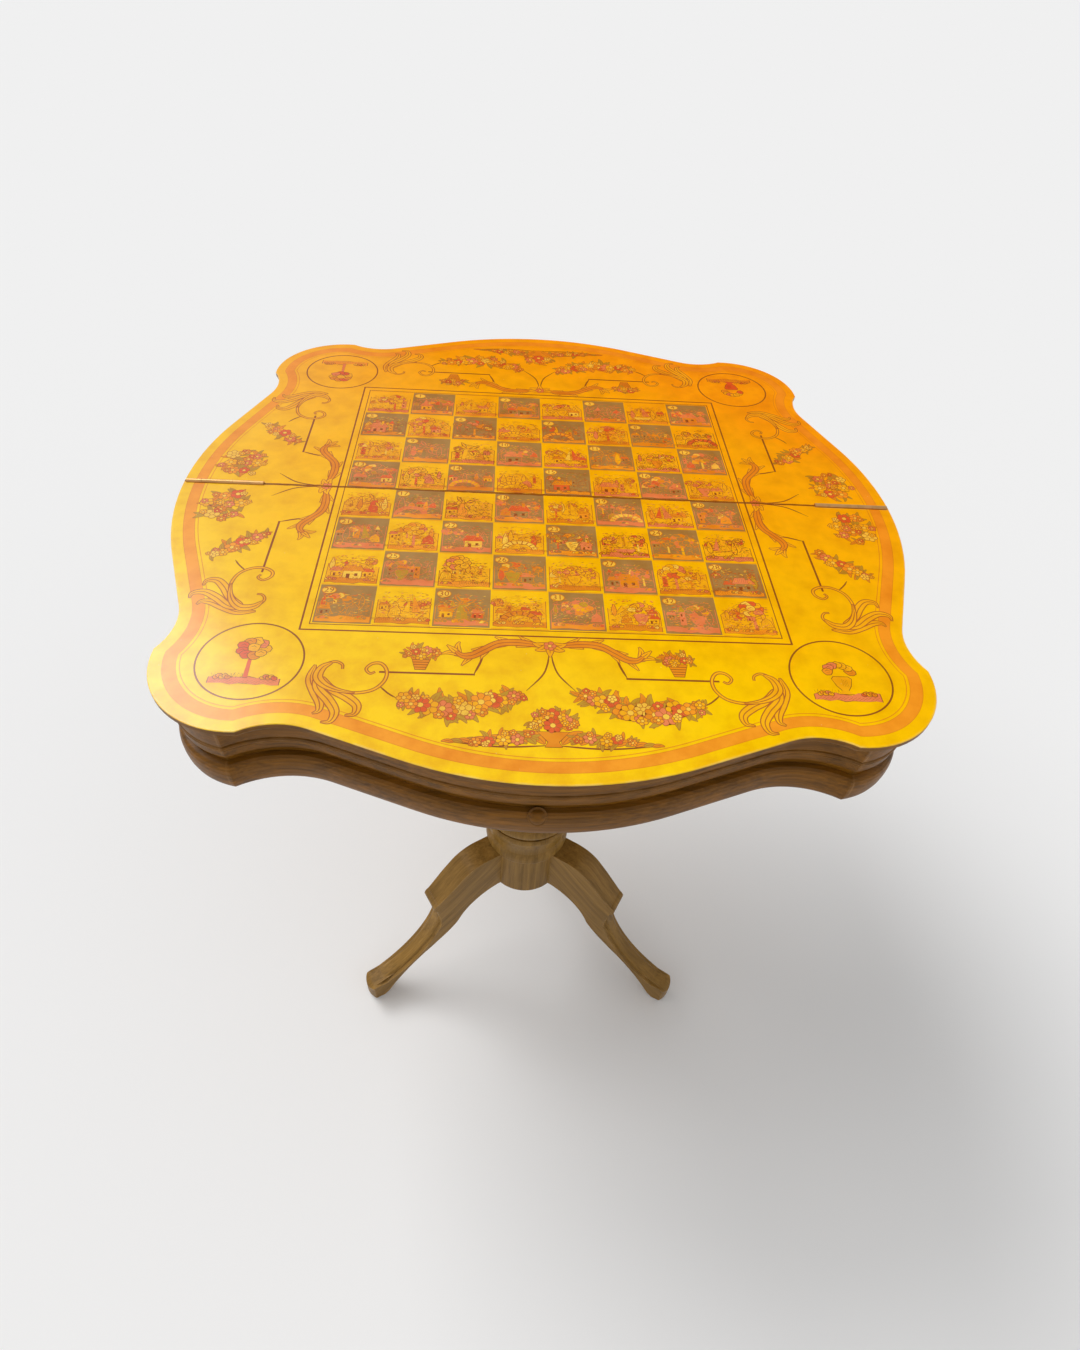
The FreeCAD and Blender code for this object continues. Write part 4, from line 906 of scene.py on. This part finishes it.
    def draw(self):
        """Sky, ridge, far and near motifs, one in front, and the foreground."""
        dice = self.dice
        self.place(0, 0, 1)
        for ink in (self.drawing, dice.choice(self.inks), dice.choice(self.inks)):
            self.shade(0.5, 0.8, ink, 16)
        self.sky()
        self.place(0, 0.08, 1)
        self.hills()
        self.shade(0.02, 0.5, self.drawing, 70)
        self.shade(0.02, 0.5, dice.choice(self.inks), 30)
        behind = (self.cypress, self.tower, self.cottage, self.tree, self.haystack)
        front = (self.tree, self.cottage, self.windmill, self.urn, self.boat, self.bridge)
        for x in (0.1, 0.33, 0.58, 0.84):
            self.stand(behind, x + dice.uniform(-0.04, 0.04), 0.32, dice.uniform(0.34, 0.46))
        middle = dice.choice((0.36, 0.5, 0.64))
        for x in (middle - 0.3, middle + 0.3):
            self.stand(behind, min(max(x, 0.13), 0.87), 0.14, dice.uniform(0.5, 0.66))
        self.stand(front, middle, 0.06, dice.uniform(0.84, 0.98))
        self.place(0, 0, 1)
        for ink, count in ((self.paper, 45), (self.drawing, 40), (dice.choice(self.inks), 26),
                           (dice.choice(self.inks), 26)):
            self.shade(0.04, 0.7, ink, count)
        self.ground()
        for x in (dice.uniform(0.06, 0.16), dice.uniform(0.4, 0.6), dice.uniform(0.82, 0.92)):
            self.stand((self.bush, self.rocks, self.bush, self.fence), x, 0.0, 0.36)


class Garland:
    """Flowers heaped along lines, in baskets, in urns and in bunches."""

    FLOWERS = ("ochre", "rose", "gold", "scarlet", "ribbon", "gold", "straw")
    URN = ((-8, -18), (8, -18), (5, -12), (15, 0), (-15, 0), (-5, -12))

    def __init__(self, sheet, dice):
        self.sheet, self.dice = sheet, dice

    @staticmethod
    def fan(x, y, wide, tall):
        """Seven spots from right to left over a middle."""
        return [around(0.3 + 0.42 * i, wide, tall, x, y) for i in range(7)]

    def heap(self, spots, size, leaves=5):
        """Flowers heaped along some spots, with leaves standing out all round."""
        sheet, dice = self.sheet, self.dice
        sizes = [size * (0.62 + 0.5 * math.sin(math.pi * (i + 0.5) / len(spots)))
                 for i in range(len(spots))]
        for spot, swell in zip(spots, sizes):
            for _ in range(leaves):
                sheet.frond(dice.choice(("leaf", "leaf", "ochre")), spot,
                            dice.random() * math.tau, swell * dice.uniform(1.5, 2.2),
                            dice.uniform(-1, 1), 0.3, 0.5)
        for i, ((x, y), swell) in enumerate(zip(spots, sizes)):
            sheet.flower(self.FLOWERS[i % 7],
                         (x + dice.uniform(-3, 3), y + dice.uniform(-0.5, 0.5) * swell),
                         swell * dice.uniform(0.7, 1.0), dice.choice((5, 6, 7)), dice.random())
            sheet.flower(self.FLOWERS[(i + 3) % 7],
                         (x + dice.uniform(-0.6, 0.6) * swell,
                          y + dice.choice((-0.8, 0.8)) * swell),
                         swell * 0.45, 5, dice.random())

    def basket(self, x, y):
        """A small flared basket of flowers."""
        self.sheet.inked("ochre", moved(slab_points(5, 10, 0, 17), x, y))
        for i in range(4):
            height = y + 3 + 3.5 * i
            self.sheet.line("outline", [(x - 6 - i, height), (x + 6 + i, height)], 0.8, even)
        self.heap([Vector((x + (i - 2) * 7, y + 22 + 4 * (i % 2))) for i in range(5)], 6.5)

    def bouquet(self, y):
        """A low urn heaped with flowers between two lying sprays."""
        sheet = self.sheet
        for sign in (1, -1):
            sheet.line("outline", [(0, y - 16), (sign * 50, y - 19), (sign * 100, y - 14)],
                       1.8)
            for i in range(11):
                lean = math.pi / 2 - sign * (0.55 + 0.06 * i)
                sheet.frond("leaf" if i % 2 else "ochre", (sign * (8 + 8.5 * i), y - 15), lean,
                            27 - 1.5 * i, -sign * 0.9, 0.3, 0.7)
            self.heap([Vector((sign * (22 + 13 * i), y - 6 - 1.5 * i)) for i in range(5)],
                      7, 3)
        sheet.inked("ochre", moved(self.URN, 0, y))
        self.heap(self.fan(0, y + 6, 18, 13), 8, 4)
        sheet.flower("scarlet", (0, y + 8), 9, 7)

    def posy(self, x, y):
        """A bunch of flowers tied below."""
        for tip in self.fan(x, y, 12, 10):
            self.sheet.line("outline", [(x, y - 22), tip], 1.0, even)
        self.heap([around(0.9 * i, 24, 19.2, x, y) for i in range(7)]
                  + [around(2.1 * i, 8, 6.4, x, y) for i in range(3)], 9, 4)


class TableOperator:
    """What every builder here shares."""

    bl_options = {"REGISTER", "UNDO"}

    def execute(self, context):
        """Builds the pieces, and raises an error where it can't."""
        self.build(context.scene)
        return {"FINISHED"}


class TABLE_OT_joinery(TableOperator, bpy.types.Operator):
    """Stain the leaves and the apron box, and leave the wood inside bare"""

    bl_idname = "table.joinery"
    bl_label = "Leaves and box"

    def build(self, scene):
        looks = scene.table_wood
        stains = (looks.apron_light, looks.apron_dark)
        across = wood("apron_wood_across", *stains, wear=looks.wear)
        along = wood("apron_wood_along", *stains, spin=90, wear=looks.wear)
        finish(across, "front_leaf_core", "rear_leaf_core", "front_rail", "front_moulding",
               "corner_left_block", "corner_right_block", "corner_left_moulding",
               "corner_right_moulding", "back_rail", "apron_boss")
        finish(along, "side_rail_left", "side_rail_right", "side_left_moulding",
               "side_right_moulding")
        bare = wood("bare_wood", looks.inner_light, looks.inner_dark, wear=0.1,
                    roughness=0.6, coat=0.0)
        finish(bare, "well_floor", "well_divider", "swivel_board", "glue_blocks",
               "column_cleat", "leg_dowels")


class TABLE_OT_pedestal(TableOperator, bpy.types.Operator):
    """Stain the turned pedestal and the legs, with the grain along each piece"""

    bl_idname = "table.pedestal"
    bl_label = "Pedestal and legs"

    LEGS = (("leg_front_left", 210), ("leg_front_right", 330), ("leg_rear", 90))
    LEG_SLOPE = -42

    def build(self, scene):
        looks = scene.table_wood
        stains = (looks.pedestal_light, looks.pedestal_dark)
        turned = wood("turned_wood", *stains, tilt=90, wear=looks.wear)
        finish(turned, "pedestal_drum", "pedestal_collar", "pedestal_ring",
               "pedestal_column", "stop_peg")
        for leg, angle in self.LEGS:
            finish(wood(leg + "_wood", *stains, spin=-angle, tilt=self.LEG_SLOPE,
                        wear=looks.wear), leg)
        finish(moulded_plastic("glide_plastic", looks.glide), "foot_glides")


class TABLE_OT_hardware(TableOperator, bpy.types.Operator):
    """Give the hinges brass and the swivel's bolt and the tie rod steel"""

    bl_idname = "table.hardware"
    bl_label = "Hinges and bolts"

    def build(self, scene):
        looks = scene.table_wood
        finish(metal("worn_brass", looks.brass), "hinge_front_left", "hinge_rear_left",
               "hinge_front_right", "hinge_rear_right", "hinge_pin_left", "hinge_pin_right",
               "hinge_screws_front", "hinge_screws_rear", "swivel_bush")
        finish(metal("zinc_steel", looks.steel), "pivot_plate", "pivot_plate_screws",
               "pivot_bolt", "pivot_washer", "pivot_nut", "cleat_screws", "tie_rod",
               "tie_rod_washers", "tie_rod_nuts")


class TABLE_OT_lining(TableOperator, bpy.types.Operator):
    """Line the well with baize and the rail with felt"""

    bl_idname = "table.lining"
    bl_label = "Baize and felt"

    def build(self, scene):
        finish(cloth("green_baize", scene.table_wood.baize), "well_lining")
        finish(cloth("rail_felt", scene.table_wood.felt), "rail_felt")


class TABLE_OT_ground(TableOperator, bpy.types.Operator):
    """Lay the lacquered yellow ground on both leaves"""

    bl_idname = "table.ground"
    bl_label = "Lacquered ground"

    def build(self, scene):
        looks = scene.table_print
        # The deep ground is painted shade toward the rear right of the top
        finish(lacquered("print_ground", looks.ground, looks.ground_deep,
                         scene.table_wood.wear), "front_leaf_face", "rear_leaf_face")


class TABLE_OT_border(TableOperator, bpy.types.Operator):
    """Print the ribbon and the lines that follow the top's edge"""

    bl_idname = "table.border"
    bl_label = "Ribbon border"

    def build(self, scene):
        looks = scene.table_print
        near = looks.ribbon_place / MILLIMETRE
        far = near + looks.ribbon_width / MILLIMETRE
        sheet = Print("ribbon_border")
        for ink, start, end in (("ribbon", near, far), ("ochre", near - 0.7, near),
                                ("ochre", far, far + 0.7), ("ochre", far + 3.6, far + 4.5)):
            outer = Edge.loop(start)
            sheet.shape(ink, *closed_band(outer, resample(Edge.loop(end), len(outer))))
        sheet.make()


class TABLE_OT_board(TableOperator, bpy.types.Operator):
    """Print the dark squares, their numbered ovals and the frame of the board"""

    bl_idname = "table.board"
    bl_label = "Board"

    RIM = 0.8
    # Shares of a square's side
    NUMBER_PLACE = Vector((0.17, 0.845))
    OVALS = (("ochre", 0.128, 0.74), ("straw", 0.112, 0.71))
    NUMBER_SIZE = 0.14

    def build(self, scene):
        looks = scene.table_print
        side, line, gap = (size / MILLIMETRE
                           for size in (looks.square, looks.line, looks.frame_gap))
        sheet, numbers = Print("board"), Print("numbers")
        rim, count = self.RIM, 0
        for x, y, dark in squares():
            left, low, right, high = x + rim, y + rim, x + side - rim, y + side - rim
            if not dark:
                sheet.shape("ochre", box_points(left, low - rim, right, low),
                            box_points(left, high, right, high + rim))
                continue
            count += 1
            sheet.shape("slate", box_points(left, low, right, high))
            numbers.start_run()
            numbers.aim(centre=Vector((x, y)) + self.NUMBER_PLACE * side)
            for ink, radius, squash in self.OVALS:
                numbers.shape(ink, ring_points(side * radius, 18, squash))
            numbers.shape("sepia", *digit_shapes(str(count), side * self.NUMBER_SIZE))
        for inner, wide in ((side * 4 + rim, line * 0.6), (side * 4 + gap, line * 1.1)):
            sheet.start_run()
            for turn in range(4):
                sheet.aim(turn)
                sheet.shape("outline", box_points(-inner - wide, inner, inner, inner + wide))
        sheet.make()
        numbers.make()


class TABLE_OT_pictures(TableOperator, bpy.types.Operator):
    """Print a small landscape into every square"""

    bl_idname = "table.pictures"
    bl_label = "Small pictures"

    # Paper, pens and accents of the dark squares and of the light ones
    DARK = ("slate", ("sepia", "rose", "ochre", "rose"),
            ("rose", "ochre", "ribbon", "scarlet", "straw", "leaf", "gold"))
    LIGHT = ("gold", ("sepia", "sepia", "outline"),
             ("ribbon", "ochre", "rose", "gold", "straw", "rose", "scarlet"))

    def build(self, scene):
        side = scene.table_print.square / MILLIMETRE
        sheet = Print("pictures")
        dice = random.Random(scene.table_print.seed)
        for x, y, dark in squares():
            sheet.start_run()
            paper, pens, inks = self.DARK if dark else self.LIGHT
            Picture(sheet, dice, paper, dice.choice(pens), inks,
                    (x + side * 0.05, y + side * 0.12), side * 0.9).draw()
        sheet.make()


class TABLE_OT_scrolls(TableOperator, bpy.types.Operator):
    """Print the scrolls, lines and curling leaves of the four sides"""

    bl_idname = "table.scrolls"
    bl_label = "Scrollwork"

    # Widths in millimetres. Places are in squares to the right of the middle and down
    RODS = ((2.2, tapered, ((1.10, 4.58), (1.14, 4.80), (1.24, 5.08))),
            (2.4, even, ((1.22, 5.08), (2.74, 5.08))),
            (1.7, tapered, ((0.02, 4.56), (0.05, 4.80), (0.14, 5.06), (0.40, 5.40))),
            (1.7, tapered, ((2.42, 5.62), (2.56, 5.52), (2.72, 5.36))))
    SCROLLS = (
        (8.5, leafy, ((3.76, 4.96), (3.79, 5.26), (3.68, 5.52), (3.57, 5.74), (3.55, 5.91),
                      (3.64, 5.98))),
        (8.5, leafy, ((3.60, 5.22), (3.44, 5.46), (3.18, 5.62), (3.00, 5.79), (3.01, 5.96),
                      (3.15, 6.00))),
        (8.5, leafy, ((3.70, 5.05), (3.66, 5.42), (3.44, 5.70), (3.31, 5.93), (3.35, 6.12),
                      (3.49, 6.14))),
        (2.0, tapered, ((3.32, 5.04), (3.34, 4.94), (3.46, 4.88), (3.60, 4.96), (3.69, 5.16),
                        (3.58, 5.36), (3.36, 5.48), (3.08, 5.54), (2.80, 5.47), (2.64, 5.28),
                        (2.62, 5.06), (2.72, 4.90), (2.86, 4.90), (2.95, 5.02), (2.88, 5.12),
                        (2.80, 5.08))),
        (8.0, leafy, ((3.50, 4.90), (3.64, 5.02), (3.68, 5.22), (3.56, 5.38), (3.34, 5.49),
                      (3.06, 5.54))))
    STEM = ((0.04, 4.42), (0.30, 4.35), (0.60, 4.32), (0.86, 4.36), (1.08, 4.51),
            (1.28, 4.65), (1.44, 4.66), (1.55, 4.57))
    # How far each leaf of the knot in the middle leans from straight down
    DOWN = -1.57
    KNOT = (1.22, -1.22, 0.62, -0.62, 0)

    def build(self, scene):
        side = scene.table_print.square / MILLIMETRE
        sheet = Print("scrollwork")

        def at(points):
            return [Vector((u, -v)) * side for u, v in points]

        for turn in range(4):
            sheet.start_run()
            for mirror in (1, -1):
                sheet.aim(turn, mirror)
                for width, profile, path in self.RODS:
                    sheet.line("outline", at(path), width, profile)
                for width, profile, path in self.SCROLLS:
                    sheet.stroke("gold", smooth(at(path)), width, profile)
                    if profile is leafy:
                        sheet.line("sepia", at(path), 1.1)
                sheet.acanthus("gold", at(self.STEM), 27)
            sheet.aim(turn)
            for lean in self.KNOT:
                bend = math.copysign(1.1, lean) if lean else 0
                sheet.frond("gold", (0, -4.34 * side), self.DOWN + lean, 19, bend, 0.38)
            sheet.flower("rose", (0, -4.38 * side), 6.5, 5)
        sheet.make()


class TABLE_OT_garlands(TableOperator, bpy.types.Operator):
    """Print the flower garlands, the baskets and the bouquets of the four sides"""

    bl_idname = "table.garlands"
    bl_label = "Garlands"

    # Half a garland at the front or rear and at a side, in squares like the scrolls
    LONG = ((0.50, 5.46), (0.92, 5.66), (1.40, 5.80), (1.88, 5.76), (2.34, 5.66))
    SHORT = ((1.62, 5.28), (1.95, 5.66), (2.28, 6.06))

    def build(self, scene):
        side = scene.table_print.square / MILLIMETRE
        sheet = Print("garlands")
        garland = Garland(sheet, random.Random(scene.table_print.seed + 4))
        for turn in range(4):
            long = turn % 2 == 0
            for mirror in (1, -1):
                sheet.start_run()
                sheet.aim(turn, mirror)
                garland.heap(smooth([(u * side, -v * side)
                                     for u, v in (self.LONG if long else self.SHORT)], 3),
                             11 if long else 8.5)
                if long:
                    garland.basket(2.1 * side, -5.0 * side)
                else:
                    garland.posy(0.78 * side, -6.2 * side)
            if long:
                sheet.start_run()
                sheet.aim(turn)
                garland.bouquet(-6.22 * side)
        sheet.make()


class TABLE_OT_medallions(TableOperator, bpy.types.Operator):
    """Print the round frames in the corners, each with a plant in it"""

    bl_idname = "table.medallions"
    bl_label = "Corner medallions"

    PLACE = Vector((300, 306))
    PICTURE_SIDE = 68
    PICTURE_CORNER = Vector((-34, -28))

    def build(self, scene):
        looks = scene.table_print
        radius, half = looks.medallion / MILLIMETRE, looks.line / MILLIMETRE / 2
        sheet = Print("medallions")
        dice = random.Random(looks.seed + 9)
        for turn, sign in ((0, -1), (0, 1), (2, -1), (2, 1)):
            centre = Vector((sign * self.PLACE.x, -self.PLACE.y))
            sheet.start_run()
            sheet.aim(turn, 1, centre)
            sheet.shape("outline", *closed_band(ring_points(radius + half, 72),
                                                ring_points(radius - half, 72)))
            picture = Picture(sheet, dice, "gold", "outline",
                              ("rose", "ribbon", "ochre", "scarlet"),
                              centre + self.PICTURE_CORNER, self.PICTURE_SIDE)
            picture.place(0, 0, 1, turn)
            picture.ground()
            picture.place(0.5, 0.06, 0.95, turn)
            (picture.tree, picture.urn)[(turn // 2 + (sign > 0)) % 2]()
            for x in (0.18, 0.84):
                picture.place(x, 0.02, 0.4, turn)
                picture.bush()
        sheet.make()


class TABLE_OT_seam(TableOperator, bpy.types.Operator):
    """Print dark strips on both sides of the seam, as painted shade in the gap between the
    leaves
    """

    bl_idname = "table.seam"
    bl_label = "Rubbed seam"

    PIECES = 150
    WIDTH = 1.5
    MARGIN = 0.8

    def build(self, scene):
        sheet = Print("seam_edges")
        reach = REACH - self.MARGIN
        dice = random.Random(scene.table_print.seed + 2)
        for side in (1, -1):
            # Painted shade: a dark strip of ragged width along each side of the seam
            edge = [(reach * (2 * i / self.PIECES - 1),
                     side * (self.WIDTH + dice.uniform(-0.25, 0.5)))
                    for i in range(self.PIECES + 1)]
            sheet.shape("outline", *band(edge, [(x, 0) for x, _ in edge]))
        sheet.make()


class TABLE_OT_stage(TableOperator, bpy.types.Operator):
    """Set up the pale floor, the soft light and the camera"""

    bl_idname = "table.stage"
    bl_label = "Stage"

    FLOOR_REACH = 40

    def build(self, scene):
        stage = scene.table_stage
        self.lay_floor(scene, stage)
        self.light(scene, stage)
        lens = bpy.data.cameras.new("camera")
        lens.lens, lens.sensor_width = stage.focal_length, 36
        lens.shift_x, lens.shift_y = stage.shift
        lens.clip_start, lens.clip_end = 0.01, 200
        camera = bpy.data.objects.new("camera", lens)
        camera.location = stage.camera_place
        camera.rotation_euler = Euler(stage.camera_turn)
        scene.collection.objects.link(camera)
        scene.camera = camera
        scene.view_settings.view_transform = "Standard"

    def lay_floor(self, scene, stage):
        mesh = bpy.data.meshes.new("floor")
        reach = self.FLOOR_REACH
        mesh.from_pydata([(x, y, 0) for x, y in box_points(-reach, -reach, reach, reach)],
                         [], [(0, 1, 2, 3)])
        floor = bpy.data.objects.new("floor", mesh)
        scene.collection.objects.link(floor)
        material, _, shader = blank_material("pale_floor")
        shader.inputs["Base Color"].default_value = paint(stage.floor)
        dress(shader, Roughness=0.9, Specular_IOR_Level=0.0)
        mesh.materials.append(material)

    def light(self, scene, stage):
        """Light from all round, a background as pale as the floor, and two lamps."""
        world = scene.world or bpy.data.worlds.new("studio")
        scene.world = world
        world.use_nodes = True
        tree = world.node_tree
        tree.nodes.clear()
        sky = add(tree, "Background", {"Color": paint(WHITE), "Strength": stage.sky})
        seen = add(tree, "Background", {"Color": paint(stage.floor), "Strength": 1.0})
        rays = add(tree, "LightPath").outputs
        direct = maths(tree, "MAXIMUM", rays["Is Camera Ray"], rays["Is Glossy Ray"])
        direct = maths(tree, "MAXIMUM", direct, rays["Is Transmission Ray"])
        shown = add(tree, "MixShader", {0: direct, 1: sky.outputs[0], 2: seen.outputs[0]})
        add(tree, "OutputWorld", {"Surface": shown.outputs[0]})
        for name, energy, turn, softness in (
                ("key", stage.key, stage.key_turn, stage.key_spread),
                ("side_light", stage.side, stage.side_turn, stage.side_spread)):
            lamp = bpy.data.lights.new(name, "SUN")
            lamp.energy, lamp.angle = energy, softness
            light = bpy.data.objects.new(name, lamp)
            light.rotation_euler = Euler(turn)
            scene.collection.objects.link(light)


BUILDERS = (TABLE_OT_joinery, TABLE_OT_pedestal, TABLE_OT_hardware, TABLE_OT_lining,
            TABLE_OT_ground, TABLE_OT_border, TABLE_OT_board, TABLE_OT_pictures,
            TABLE_OT_scrolls, TABLE_OT_garlands, TABLE_OT_medallions, TABLE_OT_seam,
            TABLE_OT_stage)
SETTINGS = {"table_print": TablePrintSettings, "table_wood": TableWoodSettings,
            "table_stage": TableStageSettings}


class TABLE_PT_builders(bpy.types.Panel):
    """Lists the table's builders and settings"""

    bl_idname = "TABLE_PT_builders"
    bl_label = "Game Table"
    bl_space_type = "VIEW_3D"
    bl_region_type = "UI"
    bl_category = "Game Table"

    def draw(self, context):
        for builder in BUILDERS:
            self.layout.operator(builder.bl_idname)
        for name in SETTINGS:
            holder = getattr(context.scene, name)
            box = self.layout.box()
            for field in holder.__annotations__:
                box.prop(holder, field)


def register():
    for kind in (*SETTINGS.values(), *BUILDERS, TABLE_PT_builders):
        bpy.utils.register_class(kind)
    for name, kind in SETTINGS.items():
        setattr(bpy.types.Scene, name, PointerProperty(type=kind))


def unregister():
    for name in SETTINGS:
        delattr(bpy.types.Scene, name)
    for kind in (TABLE_PT_builders, *reversed(BUILDERS), *reversed(SETTINGS.values())):
        bpy.utils.unregister_class(kind)


def main():
    register()
    for builder in BUILDERS:
        group, name = builder.bl_idname.split(".")
        getattr(getattr(bpy.ops, group), name)()


if __name__ == "__main__":
    main()
